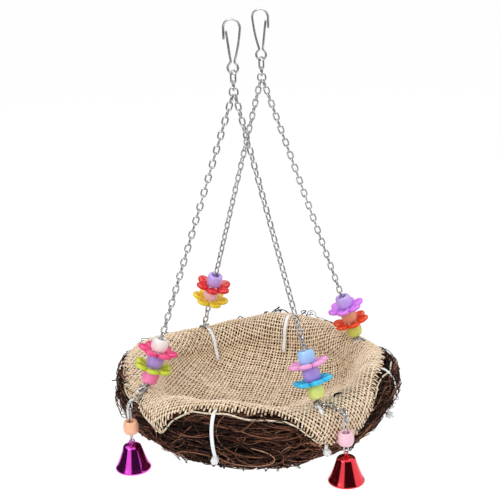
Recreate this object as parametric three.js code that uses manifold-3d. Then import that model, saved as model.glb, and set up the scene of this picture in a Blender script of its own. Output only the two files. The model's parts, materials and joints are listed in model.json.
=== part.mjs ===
import * as THREE from 'three';
import Module from 'manifold-3d';

// A twig nest hung from two snap hooks by four chains, with beads on the chains and two bells.
// Millimetres, +Z up. The origin lies midway between the seats of the two hooks, front is -Y.

// Driving sizes of the hooks
const hookHalf = 31;
const hookWire = 1.5;
const crownRadius = 5.6;
const crownSteps = 9;
const noseLength = 6.8;
const hookDrop = 26.2;
const shoulderBow = 0.6;
const neckHalf = 1.3;
const neckDrop = 1.3;
const eyeRadius = 3.5;
const eyeOpening = 38;
const eyeSteps = 9;
const gateDrop = 7;
const gateRoot = 0.8;

// Driving sizes of the links
const chainWire = 1.15;
const linkWidth = 4.6;
const linkPitch = 4.9;
const linkGrip = 0.3;
const linkRidge = 0.6;
const coreLinks = 7;
const coreDiameter = 3.4;
const topLink = { width: 5.2, length: 10, wire: 1.2 };
const linkTurn = 60;
const junctionLink = { width: 5, length: 7.2, wire: 1.1 };
const forkLink = { width: 6.8, length: 7.4, wire: 1.1 };
const forkSpread = 1.2;

// Driving sizes of the nest
const crestZ = -245;
const rimWave = 3.5;
const nestRadius = 98;
const crestRadius = 12;
const nestDepth = 51;
const baseRadius = 45;
const bowlDepth = 42;
const courses = 5;
const courseDepth = 2.4;
const bundleSteps = 4;
const angularSteps = 32;

// Driving sizes of the cloth, the string and the cable ties
const clothHalf = 110;
const clothSquareness = 4;
const clothLift = 1.1;
const clothThickness = 0.8;
const clothTrim = { front_left: 0.1, front_right: 0, back_right: 0.08, back_left: 0.05 };
const flapLift = 0.6;
const flapFlare = 1.2;
const foldHeight = 2.4;
const folds = 8;
const stringDiameter = 1.2;
const stringInset = 2.6;
const tie = {
  width: 2.5, thickness: 1, crestLift: 3.2, lift: 3.6, endLift: 3.6, innerLift: 5, inner: 30, outer: 38,
};
const tieHead = { width: 4.4, height: 4, depth: 4 };
const cornerTie = { lift: 6.8, endLift: 4.6, outer: 33, shift: -1.3 };

// Driving sizes of the anchor rings, the drop chains and the bells
const anchorRing = { radius: 3.6, wire: 1.2, seatAngle: 19, lean: 28, shift: 0.9, backShift: 1.3 };
const dropLinks = 5;
const dropStart = 80;
const dropRoll = 42;
const drops = {
  front_left: { reach: 5.5, slip: 13, below: 7.4 },
  front_right: { reach: 9, slip: 8, below: 5 },
};
const hanger = { width: 4.2, length: 26, wire: 1 };
const bellBead = { diameter: 10.6, height: 9, bore: 5.2, drop: 14 };
const bell = { shoulder: 12.4, mouth: 24.4, height: 17, wall: 0.8, crown: 0.6, lip: 0.5, flare: 1.25 };
const bellLoop = { radius: 1.9, wire: 1, sink: 0.2 };
const staple = { radius: 1.7, wire: 0.9 };
const clapper = { ball: 6, length: 10.4, ring: 1.5, wire: 0.9 };

// Driving sizes of the beads on the chains
const bead = { diameter: 11.6, height: 8.8, bore: 5.5 };
const bellyAngle = 54;
const bellyBulge = 0.6;
const flower = { diameter: 27.6, hub: 2.5, hubDiameter: 11, cup: 3, edge: 1.6 };
const petal = { count: 6, steps: 3, notch: 0.36, tip: 0.05 };
const stackLift = 1.3;
const bareChain = 22;

// Facets of the round forms
const wireSides = 4;
const rodSides = 6;
const loopCorners = 12;
const eyeCorners = 8;
const beadSides = 8;

// Clearances between pieces that touch on the object
const fit = 0.3;
const linkFit = 0.75;
const backSlack = 1.2;

// Colours of each stack of beads, from the lowest piece up, and of the two bells
const stacks = {
  front_left: { lowest: 'bead', colors: [0xf77fb4, 0xcfdd45, 0xb79be0, 0xf0558c, 0xf3ece6] },
  front_right: { lowest: 'bead', colors: [0xdbe08a, 0x35c6ee, 0xb79be0, 0xf3a6d4, 0xa9cdf5] },
  back_left: { lowest: 'flower', colors: [0xf1d73f, 0xf7c6d8, 0xe0302e, 0xcdb4f0] },
  back_right: { lowest: 'bead', colors: [0xd6e06a, 0xf2551d, 0xf3a987, 0xe08af5, 0xcdb4f0] },
};
const bellColors = {
  front_left: { bell: 0xc01cc0, bead: 0xf6c3a5 },
  front_right: { bell: 0xd81f30, bead: 0xf6cfdb },
};

const corners = { front_left: 225, front_right: 315, back_right: 45, back_left: 135 };
const sides = { front: 270, right: 0, back: 90, left: 180 };

const wasm = await Module();
wasm.setup();
const up = new THREE.Vector3(0, 0, 1);
const group = new THREE.Group();
group.name = 'hanging_nest';

const steel = { color: 0xb9bcc0, roughness: 0.3, metalness: 1 };
const nylon = { color: 0xf2f3f5, roughness: 0.45, metalness: 0 };
const twigs = { color: 0x3a251b, roughness: 0.85, metalness: 0 };
const burlap = { color: 0xc8aa82, roughness: 0.95, metalness: 0 };
const twine = { color: 0xe9dfc6, roughness: 0.9, metalness: 0 };
const plastic = (color) => ({ color, roughness: 0.28, metalness: 0 });
const anodised = (color) => ({ color, roughness: 0.22, metalness: 0.9 });

const quarter = Math.PI / 2;
const radians = THREE.MathUtils.degToRad;
const vector = (x, y, z) => new THREE.Vector3(x, y, z);
const polar = (angle, r, z) => vector(r * Math.cos(angle), r * Math.sin(angle), z);
const times = (count, make) => Array.from({ length: count }, (_, i) => make(i));
const steps = (from, to, count) => times(count, (i) => from + ((to - from) * i) / count);

function place(name, geometry, finish, parent = group) {
  const mesh = new THREE.Mesh(geometry, new THREE.MeshStandardMaterial(finish));
  mesh.name = name;
  parent.add(mesh);
  return mesh;
}

function mesh3(positions, index) {
  const geometry = new THREE.BufferGeometry();
  geometry.setAttribute('position', new THREE.Float32BufferAttribute(positions, 3));
  geometry.setIndex(index);
  geometry.computeVertexNormals();
  return geometry;
}

// Six times the volume inside the triangles, negative where they face inwards.
function signedVolume(points, index) {
  let sum = 0;
  for (let i = 0; i < index.length; i += 3) {
    const [a, b, c] = [points[index[i]], points[index[i + 1]], points[index[i + 2]]];
    sum += a.dot(b.clone().cross(c));
  }
  return sum;
}

// Joins rings of points, of one count each or a single pole, into one closed skin facing out.
function skin(rings, closed = false) {
  const points = rings.flat();
  const index = [];
  const starts = [0];
  for (const ring of rings) starts.push(starts.at(-1) + ring.length);
  const count = Math.max(...rings.map((ring) => ring.length));
  const bands = closed ? rings.length : rings.length - 1;
  for (let k = 0; k < bands; k += 1) {
    const next = (k + 1) % rings.length;
    const corner = (row, i) => starts[row] + (i % rings[row].length);
    for (let i = 0; i < count; i += 1) {
      if (rings[k].length > 1) index.push(corner(k, i), corner(k, i + 1), corner(next, i + 1));
      if (rings[next].length > 1) index.push(corner(k, i), corner(next, i + 1), corner(next, i));
    }
  }
  if (!closed) {
    const last = rings.length - 1;
    for (let i = 1; i < rings[0].length - 1; i += 1) index.push(0, i + 1, i);
    for (let i = 1; i < rings[last].length - 1; i += 1) {
      index.push(starts[last], starts[last] + i, starts[last] + i + 1);
    }
  }
  if (signedVolume(points, index) < 0) index.reverse();
  return mesh3(points.flatMap((point) => point.toArray()), index);
}

// Sweeps a section, as (across, along the normal) pairs, along points with mitred corners.
function sweep(points, section, normal, closed = false) {
  const rings = points.map((point, i) => {
    const before = points[i - 1] ?? (closed ? points.at(-1) : null);
    const after = points[i + 1] ?? (closed ? points[0] : null);
    const into = before ? point.clone().sub(before).normalize() : null;
    const out = after ? after.clone().sub(point).normalize() : into;
    const tangent = (into ?? out).clone().add(out).normalize();
    const across = normal.clone().cross(tangent).normalize();
    const side = tangent.clone().cross(across);
    const mitre = 1 / Math.max(0.5, tangent.dot(out));
    return section.map(([u, v]) => (
      point.clone().addScaledVector(across, u * mitre).addScaledVector(side, v)
    ));
  });
  return skin(rings, closed);
}

// A round wire's section, whose flats lie at the wire's own radius.
function wireSection(diameter, count) {
  const radius = diameter / 2 / Math.cos(Math.PI / count);
  return times(count, (i) => {
    const angle = ((i + 0.5) / count) * 2 * Math.PI;
    return [radius * Math.cos(angle), radius * Math.sin(angle)];
  });
}

const boxSection = (width, height) => [[-1, -1], [1, -1], [1, 1], [-1, 1]]
  .map(([u, v]) => [(u * width) / 2, (v * height) / 2]);

// Rings about Z at (radius, height) pairs, with flats at the radius where it is a bore.
function rings(profile, count) {
  return profile.map(([r, z]) => times(count, (i) => polar((i / count) * 2 * Math.PI, r, z)));
}

const boreRadius = (diameter, count) => diameter / 2 / Math.cos(Math.PI / count);

function solid(geometry) {
  return new wasm.Manifold(new wasm.Mesh({
    numProp: 3,
    vertProperties: geometry.attributes.position.array,
    triVerts: Uint32Array.from(geometry.index.array),
  }));
}

function shape(body) {
  const mesh = body.getMesh();
  return mesh3(Array.from(mesh.vertProperties), Array.from(mesh.triVerts));
}

const join = (...geometries) => shape(geometries.map(solid).reduce((a, b) => a.add(b)));

// An oval wire loop round the Y axis, long along Z, with its middle at the origin.
function oval({ width, length, wire }, cornerCount = loopCorners) {
  const radius = (width - wire) / 2;
  const straight = (length - width) / 2;
  const points = times(cornerCount, (i) => {
    const angle = ((i + 0.5) / cornerCount) * 2 * Math.PI;
    const end = Math.sign(Math.sin(angle)) * straight;
    return vector(radius * Math.cos(angle), 0, radius * Math.sin(angle) + end);
  });
  return sweep(points, wireSection(wire, wireSides), vector(0, 1, 0), true);
}

function ring(radius, wire, cornerCount) {
  const across = 2 * radius + wire;
  return oval({ width: across, length: across, wire }, cornerCount);
}

// One chain link between two contact points along Z: a three-sided wire with its ridge inwards.
function chainLink(pitch) {
  const ridge = chainWire * linkRidge;
  const half = (linkWidth - chainWire) / 2;
  const stretch = (pitch - linkGrip) / 2 + ridge - half;
  const section = times(3, (i) => {
    const angle = Math.PI + (i / 3) * 2 * Math.PI;
    return [ridge * Math.cos(angle), ridge * Math.sin(angle)];
  });
  const turns = times(6, (i) => {
    const angle = quarter + (i / 6) * 2 * Math.PI;
    const out = vector(Math.cos(angle), 0, Math.sin(angle));
    const width = (half * out.x) / Math.cos(Math.PI / 6);
    const centre = vector(width, 0, half * out.z + Math.sign(out.z) * stretch);
    return section.map(([u, v]) => centre.clone().addScaledVector(out, u).setY(v));
  });
  return skin(turns, true);
}

// The frame of a link between two contact points, wide along the given side.
function linkFrame(from, to, side) {
  const axis = from.clone().sub(to).normalize();
  const across = side.clone().addScaledVector(axis, -side.dot(axis)).normalize();
  return { axis, across, out: axis.clone().cross(across) };
}

// A chain through contact points: each link turns a quarter from the last, with a slow twist that
// brings the last link's width to its own side. The links in the core run inside the beads, and
// are one plain rod.
function chain(name, contacts, side, lastSide, core = { from: Infinity, to: Infinity }) {
  const last = contacts.length - 2;
  const end = linkFrame(contacts[last], contacts[last + 1], side);
  const extra = Math.atan2(lastSide.dot(end.out), lastSide.dot(end.across)) - last * quarter;
  const twist = extra - Math.PI * Math.round(extra / Math.PI);
  const pieces = [];
  for (let i = 0; i <= last; i += 1) {
    if (i === core.from) {
      pieces.push(sweep([contacts[i], contacts[core.to]], wireSection(coreDiameter, rodSides), side));
    }
    if (i >= core.from && i < core.to) continue;
    const [from, to] = [contacts[i], contacts[i + 1]];
    const { axis, across, out } = linkFrame(from, to, side);
    const frame = new THREE.Matrix4().makeBasis(across, out, axis);
    frame.setPosition(from.clone().lerp(to, 0.5));
    const roll = new THREE.Matrix4().makeRotationZ(i * quarter + (twist * i) / last);
    pieces.push(chainLink(from.distanceTo(to)).applyMatrix4(frame.multiply(roll)));
  }
  return place(name, join(...pieces), steel);
}

// Hooks: a wire from the nose over the crown, down the shoulder and round the eye, and its gate.
const crownZ = hookWire / 2 - crownRadius * Math.cos(Math.PI / crownSteps / 2);
const eyeAngle = radians(90 - eyeOpening);
const eyeZ = -hookDrop - neckDrop - eyeRadius * Math.sin(eyeAngle);
const eyeBottom = eyeZ - eyeRadius * Math.cos((quarter + eyeAngle) / eyeSteps);
const neck = vector(-neckHalf, 0, -hookDrop);
const gateTip = vector(-crownRadius + hookWire + fit, 0, -gateDrop);
const gateWay = gateTip.clone().sub(neck).normalize();

function arc(radius, z, from, to, count) {
  return times(count + 1, (i) => {
    const angle = from + ((to - from) * i) / count;
    return vector(radius * Math.cos(angle), 0, z + radius * Math.sin(angle));
  });
}

function hook(name, y, mirror) {
  const shoulder = steps(0, 1, 4).slice(1).map((t) => vector(
    THREE.MathUtils.lerp(crownRadius, neckHalf, t) + shoulderBow * Math.sin(Math.PI * t),
    0,
    THREE.MathUtils.lerp(crownZ, -hookDrop, t),
  ));
  const points = [
    vector(-crownRadius, 0, crownZ - noseLength),
    ...arc(crownRadius, crownZ, Math.PI, 0, crownSteps),
    ...shoulder,
    vector(neckHalf, 0, -hookDrop),
    ...arc(eyeRadius, eyeZ, eyeAngle, -Math.PI - eyeAngle, eyeSteps),
    neck,
    neck.clone().addScaledVector(gateWay, gateRoot),
  ];
  const gate = [neck.clone().addScaledVector(gateWay, gateRoot + fit), gateTip];
  const turned = (list) => list.map((point) => vector(point.x * mirror, y, point.z));
  const normal = vector(0, 1, 0);
  place(`${name}_hook`, sweep(turned(points), wireSection(hookWire, rodSides), normal), steel);
  place(`${name}_hook_gate`, sweep(turned(gate), wireSection(hookWire, rodSides), normal), steel);
}

// The three links under each hook, each seated in the one above; the last one carries two chains.
const topLinkTop = eyeBottom + (hookWire + topLink.wire) / 2 + linkFit;
const topLinkZ = topLinkTop - (topLink.length - topLink.wire) / 2;
const topLinkFoot = topLinkZ - (topLink.length - topLink.wire) / 2;
const junctionTop = topLinkFoot + (topLink.wire + junctionLink.wire) / 2 + linkFit;
const junctionFoot = junctionTop - junctionLink.length + junctionLink.wire;
const forkTop = junctionFoot + (junctionLink.wire + forkLink.wire) / 2 + linkFit;
const forkFoot = forkTop - forkLink.length + forkLink.wire;
const forkBend = (forkLink.width - forkLink.wire) / 2;
const forkSeat = forkFoot + forkBend - Math.sqrt(forkBend ** 2 - forkSpread ** 2);

function hookLinks(name, y) {
  const top = place(`${name}_top_link`, oval(topLink), steel);
  top.position.set(0, y, topLinkZ);
  top.rotation.z = radians(linkTurn);
  const junction = place(`${name}_junction_link`, oval(junctionLink), steel);
  junction.position.set(0, y, (junctionTop + junctionFoot) / 2);
  junction.rotation.z = radians(2 * linkTurn);
  const fork = place(`${name}_fork_link`, oval(forkLink), steel);
  fork.position.set(0, y, (forkTop + forkFoot) / 2);
}

// The nest's section, from the middle of the bowl over the crest and down to the base.
const crestBase = crestZ - crestRadius;
const crestMiddle = nestRadius - crestRadius;
const bowlRise = bowlDepth - crestRadius;
const flankRise = nestDepth - crestRadius;
const bowlCurve = new THREE.EllipseCurve(0, crestBase, crestMiddle - crestRadius, bowlRise, -quarter, 0);
const crestCurve = new THREE.EllipseCurve(
  crestMiddle, crestBase, crestRadius, crestRadius, Math.PI, 0, true,
);
const flankCurve = new THREE.EllipseCurve(
  baseRadius, crestBase, nestRadius - baseRadius, flankRise, 0, -quarter, true,
);
const baseZ = crestZ - nestDepth;
const wall = new THREE.CurvePath();
wall.add(bowlCurve);
wall.add(crestCurve);
wall.add(flankCurve);
wall.add(new THREE.LineCurve(new THREE.Vector2(baseRadius, baseZ), new THREE.Vector2(0, baseZ)));
const crestStart = bowlCurve.getLength();
const crestTop = crestStart + quarter * crestRadius;
const crestEnd = crestStart + Math.PI * crestRadius;
const flankEnd = crestEnd + flankCurve.getLength();

// A point of the section at a distance along the surface, lifted off it, as (radius, height).
function onNest(distance, lift) {
  const t = distance / wall.getLength();
  const point = wall.getPoint(t);
  const tangent = wall.getTangent(t);
  return [point.x - tangent.y * lift, point.y + tangent.x * lift];
}

// The same point on the nest itself, whose rim rises at the sides and dips at the corners.
function nestPoint(angle, distance, lift) {
  const [r, z] = onNest(distance, lift);
  const floor = distance < crestTop ? crestZ - bowlDepth : baseZ;
  const share = THREE.MathUtils.clamp((onNest(distance, 0)[1] - floor) / (crestZ - floor), 0, 1);
  return polar(angle, r, z + rimWave * share * Math.cos(4 * angle));
}

const ringAt = (at, count = angularSteps) => times(count, (i) => at((i / count) * 2 * Math.PI));

// How far the cloth reaches along the surface at an angle: a square with round corners, some shorter.
function clothReach(angle) {
  const near = (name) => Math.cos(angle - radians(corners[name])) > Math.SQRT1_2;
  const trim = (clothTrim[Object.keys(corners).find(near)] ?? 0) * Math.max(0, -Math.cos(4 * angle));
  const sum = Math.abs(Math.cos(angle)) ** clothSquareness + Math.abs(Math.sin(angle)) ** clothSquareness;
  return clothHalf * (1 - trim) * sum ** (-1 / clothSquareness);
}

// The cloth lies in the bowl with soft folds between the ties, and its corners flare off the flank.
function onCloth(angle, distance, lift) {
  const past = Math.max(0, distance - crestTop) / (clothReach(radians(corners.front_right)) - crestTop);
  const corner = Math.max(0, -Math.cos(4 * angle));
  const bowlShare = THREE.MathUtils.clamp(distance / crestStart, 0, 1);
  const fold = foldHeight * Math.sin(Math.PI * bowlShare) ** 2 * (0.5 - 0.5 * Math.cos(folds * angle));
  const flap = flapLift * THREE.MathUtils.clamp((distance - crestTop) / crestRadius, 0, 1);
  return nestPoint(angle, distance, clothLift + lift + fold + flap + flapFlare * corner * past ** 2);
}

// Stations that the nest and the cloth share, so that the cloth keeps its lift between them.
const bowlStations = steps(0, crestStart, 4).slice(1);
const crestStations = steps(crestStart, crestTop, 3);
const flapShares = [0, 0.12, 0.25, 0.42, 0.66, 1];

function nestBowl() {
  const inside = [...bowlStations, ...crestStations, ...steps(crestTop, crestEnd, 3)];
  const flank = steps(crestEnd, flankEnd, courses * 2);
  const profile = [
    ...inside.map((distance) => [distance, 0]),
    ...flank.map((distance, i) => [distance, i]),
    [flankEnd, 0],
  ];
  const turns = profile.map(([distance, course]) => times(angularSteps, (i) => {
    const sunk = course && (course + Math.floor(i / bundleSteps)) % 2;
    return nestPoint((i / angularSteps) * 2 * Math.PI, distance, sunk ? -courseDepth : 0);
  }));
  return skin([[vector(0, 0, crestZ - bowlDepth)], ...turns, [vector(0, 0, baseZ)]]);
}

function liner() {
  const layer = (lift) => [
    [vector(0, 0, crestZ - bowlDepth + clothLift + lift)],
    ...[...bowlStations, ...crestStations].map((distance) => (
      ringAt((angle) => onCloth(angle, distance, lift))
    )),
    ...flapShares.map((share) => ringAt((angle) => onCloth(
      angle, THREE.MathUtils.lerp(crestTop, clothReach(angle), share), lift,
    ))),
  ];
  return skin([...layer(clothThickness), ...layer(0).reverse()]);
}

// The lashing string follows the cloth's edge round the outside of the nest.
function lashing() {
  const points = ringAt((angle) => {
    const edge = Math.max(clothReach(angle), crestTop + crestRadius / 2);
    return nestPoint(angle, edge + stringInset, stringDiameter / 2 + 2 * fit);
  }, 2 * angularSteps);
  return sweep(points, wireSection(stringDiameter, wireSides), up, true);
}

// A cable tie round the rim in the radial plane at an angle, or shifted along the rim. It goes over
// the cloth and the crest and back through the wall, where the cutter clears its way.
function cableTie(name, angle, { outer, lift: seatLift, endLift, shift = 0 }) {
  const ends = [crestTop - tie.inner, crestTop + outer];
  const seat = crestTop + crestRadius * radians(anchorRing.seatAngle);
  const over = [ends[0], ...steps(crestStart, crestTop, 4), crestTop, (crestTop + seat) / 2, seat];
  const down = [...steps(seat, crestEnd, 2).slice(1), crestEnd, ends[1]];
  const tangent = polar(angle + quarter, 1, 0);
  const lift = (distance) => {
    if (distance < crestStart) return tie.innerLift;
    const rising = THREE.MathUtils.clamp((distance - crestTop) / (seat - crestTop), 0, 1);
    const falling = THREE.MathUtils.clamp((distance - seat) / (ends[1] - seat), 0, 1);
    return tie.crestLift + (seatLift - tie.crestLift) * rising + (endLift - seatLift) * falling;
  };
  const points = [...over, ...down].map((distance) => (
    nestPoint(angle, distance, lift(distance)).addScaledVector(tangent, shift)
  ));
  const strap = sweep(points, boxSection(tie.thickness, tie.width), tangent, true);
  const [inside, outside] = [points[0], points.at(-1)];
  const way = outside.clone().sub(inside).normalize();
  const headEnds = [0, tieHead.depth].map((out) => outside.clone().addScaledVector(way, out));
  const head = sweep(headEnds, boxSection(tieHead.height, tieHead.width), tangent);
  place(name, join(strap, head), nylon);
  const room = 2 * fit;
  const cutSpan = [-room, inside.distanceTo(outside) + room];
  const cutEnds = cutSpan.map((t) => inside.clone().addScaledVector(way, t));
  return sweep(cutEnds, boxSection(tie.thickness + room, tie.width + room), tangent);
}

// An anchor ring at a corner lies on the cloth, its foot under the tie's strap. The frame gives
// its foot, its rise over the crest and the tangent of the rim.
function ringFrame(angle) {
  const lean = radians(anchorRing.lean);
  const foot = onCloth(
    angle,
    crestTop + crestRadius * radians(anchorRing.seatAngle),
    clothThickness + fit + anchorRing.wire / 2,
  );
  const rise = polar(angle, -Math.cos(lean), Math.sin(lean));
  const tangent = polar(angle + quarter, 1, 0);
  const centre = foot.clone().addScaledVector(rise, anchorRing.radius);
  const at = (turn) => centre.clone()
    .addScaledVector(rise, -anchorRing.radius * Math.cos(turn))
    .addScaledVector(tangent, anchorRing.radius * Math.sin(turn));
  return { centre, rise, tangent, at };
}

function anchor(name, angle) {
  const mesh = place(`${name}_anchor_ring`, ring(anchorRing.radius, anchorRing.wire, loopCorners), steel);
  const { centre, rise, tangent } = ringFrame(angle);
  mesh.position.copy(centre);
  mesh.setRotationFromMatrix(new THREE.Matrix4().makeBasis(tangent, rise.clone().cross(tangent), rise));
}

// A chain from a fork link down to the top of an anchor ring, and its line for the beads.
function mainChain(name, angle, y) {
  const left = Math.cos(angle) < 0;
  const from = vector(left ? -forkSpread : forkSpread, y, forkSeat);
  const [shift, slack] = y > 0 ? [anchorRing.backShift, backSlack] : [anchorRing.shift, fit];
  const to = ringFrame(angle).at(Math.PI - Math.asin(shift / anchorRing.radius));
  const down = to.clone().sub(from).normalize();
  const start = from.clone().addScaledVector(down, -(forkLink.wire + linkGrip) / 2 - fit);
  const end = to.clone().addScaledVector(down, (anchorRing.wire + linkGrip) / 2 + slack);
  const count = Math.round(start.distanceTo(end) / linkPitch);
  const contacts = times(count + 1, (i) => start.clone().lerp(end, i / count));
  const core = { from: count - 1 - coreLinks, to: count - 1 };
  chain(`${name}_chain`, contacts, vector(0, 1, 0), polar(angle, 1, 0), core);
  return { foot: to, down };
}

// A barrel bead with its bore along Z and its foot at the origin.
const barrel = ({ diameter, height, bore }) => {
  const belly = [-bellyAngle, 0, bellyAngle].map(radians).map((a) => [
    (diameter / 2) * Math.cos(a) ** bellyBulge,
    (height / 2) * (1 + Math.sin(a) / Math.sin(radians(bellyAngle))),
  ]);
  const inner = boreRadius(bore, beadSides);
  return skin(rings([[inner, 0], ...belly, [inner, height]], beadSides), true);
};

// A flower bead: a hub with the bore and six petals cupped upwards.
function blossom() {
  const count = petal.count * petal.steps;
  const inner = boreRadius(bead.bore, count);
  const petals = (z) => times(count, (i) => {
    const angle = (i / count) * 2 * Math.PI;
    const notch = i % petal.steps ? petal.tip : petal.notch;
    return polar(angle, (flower.diameter / 2) * (1 - notch), z);
  });
  const [boreFoot, hubTop, boreTop] = rings(
    [[inner, 0], [flower.hubDiameter / 2, flower.hub], [inner, flower.hub]], count,
  );
  const [under, over] = [petals(flower.cup), petals(flower.cup + flower.edge)];
  return skin([boreFoot, under, over, hubTop, boreTop], true);
}

// Beads and flowers in turn, threaded on a chain above its anchor ring.
function stack(name, { foot, down }, { lowest, colors }) {
  const line = new THREE.Group();
  line.name = `${name}_stack`;
  line.position.copy(foot);
  line.quaternion.setFromUnitVectors(up, down.clone().negate());
  group.add(line);
  let height = anchorRing.wire / 2 + (lowest === 'bead' ? stackLift : bareChain);
  const made = { bead: 0, flower: 0 };
  let kind = lowest;
  for (const color of colors) {
    made[kind] += 1;
    const geometry = kind === 'bead' ? barrel(bead) : blossom();
    const mesh = place(`${name}_${kind}_${made[kind]}`, geometry, plastic(color), line);
    mesh.position.z = height;
    height += (kind === 'bead' ? bead.height : flower.hub) + fit;
    kind = kind === 'bead' ? 'flower' : 'bead';
  }
}

// A bell: loop, shoulder, flared wall with a thick lip, and a staple inside for the clapper.
function bellWall() {
  const outside = steps(0, 1, 5).concat(1).map((t) => [
    bell.shoulder / 2 + ((bell.mouth - bell.shoulder) / 2) * t ** bell.flare,
    -bell.height * t,
  ]);
  const inside = outside.map(([r, z]) => [r - bell.wall, z]).reverse();
  inside[0][0] -= bell.lip;
  inside.at(-1)[1] -= bell.wall;
  const turns = rings([...outside, ...inside], loopCorners);
  return skin([[vector(0, 0, bell.crown)], ...turns, [vector(0, 0, -bell.wall)]]);
}

// A clapper: a small ring at the top, a rod and a ball.
function clapperBody() {
  const pinRing = ring(clapper.ring, clapper.wire, eyeCorners);
  pinRing.translate(0, 0, -clapper.ring);
  const rodEnds = [vector(0, 0, -2 * clapper.ring), vector(0, 0, -clapper.length)];
  const rod = sweep(rodEnds, wireSection(clapper.wire, rodSides), vector(0, 1, 0));
  const belts = [-45, 0, 45].map(radians).map((a) => [
    (clapper.ball / 2) * Math.cos(a),
    (clapper.ball / 2) * Math.sin(a) - clapper.length,
  ]);
  const pole = (side) => [vector(0, 0, -clapper.length + (side * clapper.ball) / 2)];
  return join(pinRing, rod, skin([pole(-1), ...rings(belts, beadSides), pole(1)]));
}

// A bell strand: chain over the rim, a long wire loop through a bead, a bell and its clapper.
function bellStrand(name, angle, colors, { reach, slip, below }) {
  const { at, rise, tangent } = ringFrame(angle);
  const turn = radians(dropStart);
  const start = at(turn);
  const wireWay = tangent.clone().multiplyScalar(Math.cos(turn)).addScaledVector(rise, Math.sin(turn));
  const foot = polar(angle, nestRadius + reach, crestZ - below).addScaledVector(tangent, slip);
  const first = foot.clone().sub(start).setZ(0).normalize().add(tangent).normalize();
  const begin = start.clone().addScaledVector(first, -(anchorRing.wire + linkGrip) / 2 - linkFit);
  const second = begin.clone().addScaledVector(first, linkPitch);
  const line = new THREE.LineCurve3(second, foot.clone().addScaledVector(up, linkPitch));
  const contacts = [begin, ...line.getSpacedPoints(dropLinks - 2), foot];
  const side = first.clone().cross(wireWay).applyAxisAngle(first, radians(dropRoll));
  chain(`${name}_drop_chain`, contacts, side, polar(angle, 1, 0));

  const strand = new THREE.Group();
  strand.name = `${name}_strand`;
  strand.position.copy(foot).addScaledVector(up, (linkGrip + hanger.wire) / 2 + linkFit);
  strand.rotation.z = angle + quarter;
  group.add(strand);
  const bottom = -hanger.length + hanger.wire;
  const loop = place(`${name}_bell_hanger`, oval(hanger), steel, strand);
  loop.position.z = bottom / 2;
  const topBead = place(`${name}_bell_bead`, barrel(bellBead), plastic(colors.bead), strand);
  topBead.position.z = -bellBead.drop - bellBead.height / 2;

  const loopTop = bottom + (hanger.wire + bellLoop.wire) / 2 + linkFit;
  const crown = loopTop - 2 * bellLoop.radius - bellLoop.wire / 2 + bellLoop.sink;
  const turnLoop = new THREE.Matrix4().makeRotationZ(quarter);
  const loopRing = ring(bellLoop.radius, bellLoop.wire, eyeCorners).applyMatrix4(turnLoop);
  loopRing.translate(0, 0, loopTop - bellLoop.radius - crown);
  const eye = ring(staple.radius, staple.wire, eyeCorners).applyMatrix4(turnLoop);
  eye.translate(0, 0, -bell.wall - staple.radius / 2);
  const bellMesh = place(`${name}_bell`, join(bellWall(), loopRing, eye), anodised(colors.bell), strand);
  bellMesh.position.z = crown;

  const stapleFoot = -bell.wall - 1.5 * staple.radius;
  const pinTop = stapleFoot + (staple.wire + clapper.wire) / 2 + fit;
  const clapperMesh = place(`${name}_clapper`, clapperBody(), steel, strand);
  clapperMesh.position.z = crown + pinTop;
}

for (const [name, y, mirror] of [['front', -hookHalf, 1], ['back', hookHalf, -1]]) {
  hook(name, y, mirror);
  hookLinks(name, y);
}
for (const [name, degrees] of Object.entries(corners)) {
  const angle = radians(degrees);
  anchor(name, angle);
  stack(name, mainChain(name, angle, Math.sin(angle) < 0 ? -hookHalf : hookHalf), stacks[name]);
  if (bellColors[name]) bellStrand(name, angle, bellColors[name], drops[name]);
}

const cutters = [
  ...Object.entries(sides).map(([name, degrees]) => cableTie(`${name}_side_tie`, radians(degrees), tie)),
  ...Object.entries(corners).map(([name, degrees]) => (
    cableTie(`${name}_corner_tie`, radians(degrees), cornerTie)
  )),
].map(solid);
const cut = (geometry) => shape(cutters.reduce((body, cutter) => body.subtract(cutter), solid(geometry)));
place('nest_bowl', cut(nestBowl()), twigs);
place('burlap_liner', cut(liner()), burlap);
place('lashing_string', lashing(), twine);

export default group;
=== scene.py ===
import json
import math
import random

import bmesh
import bpy
import numpy as np
from mathutils import Matrix, Vector, noise


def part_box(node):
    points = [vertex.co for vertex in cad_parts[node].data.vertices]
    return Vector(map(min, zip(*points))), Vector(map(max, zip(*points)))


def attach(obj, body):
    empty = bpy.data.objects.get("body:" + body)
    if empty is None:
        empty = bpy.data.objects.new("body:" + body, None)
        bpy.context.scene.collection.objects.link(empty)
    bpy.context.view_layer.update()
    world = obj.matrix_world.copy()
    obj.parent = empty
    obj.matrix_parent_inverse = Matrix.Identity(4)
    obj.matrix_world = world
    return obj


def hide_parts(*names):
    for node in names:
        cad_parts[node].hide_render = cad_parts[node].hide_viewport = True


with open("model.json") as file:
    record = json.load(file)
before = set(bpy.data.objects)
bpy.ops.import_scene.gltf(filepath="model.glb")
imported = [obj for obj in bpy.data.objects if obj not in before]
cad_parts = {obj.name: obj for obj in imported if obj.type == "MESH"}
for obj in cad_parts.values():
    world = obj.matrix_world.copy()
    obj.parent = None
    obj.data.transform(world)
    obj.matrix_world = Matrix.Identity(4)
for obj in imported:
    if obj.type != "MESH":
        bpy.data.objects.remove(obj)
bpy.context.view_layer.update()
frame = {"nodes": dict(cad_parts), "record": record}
record = frame["record"]
jointOf = {joint["name"]: joint for joint in record["behaviour"]["joints"]}
slotOf = {part["node"]: part["material_slot"] for part in record["subparts"]}
bodyOf = {node: body for body, nodes in record["behaviour"]["bodies"].items() for node in nodes}
scene = bpy.context.scene
mm = 0.001
print("frame:", len(frame["nodes"]), "nodes")

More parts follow.
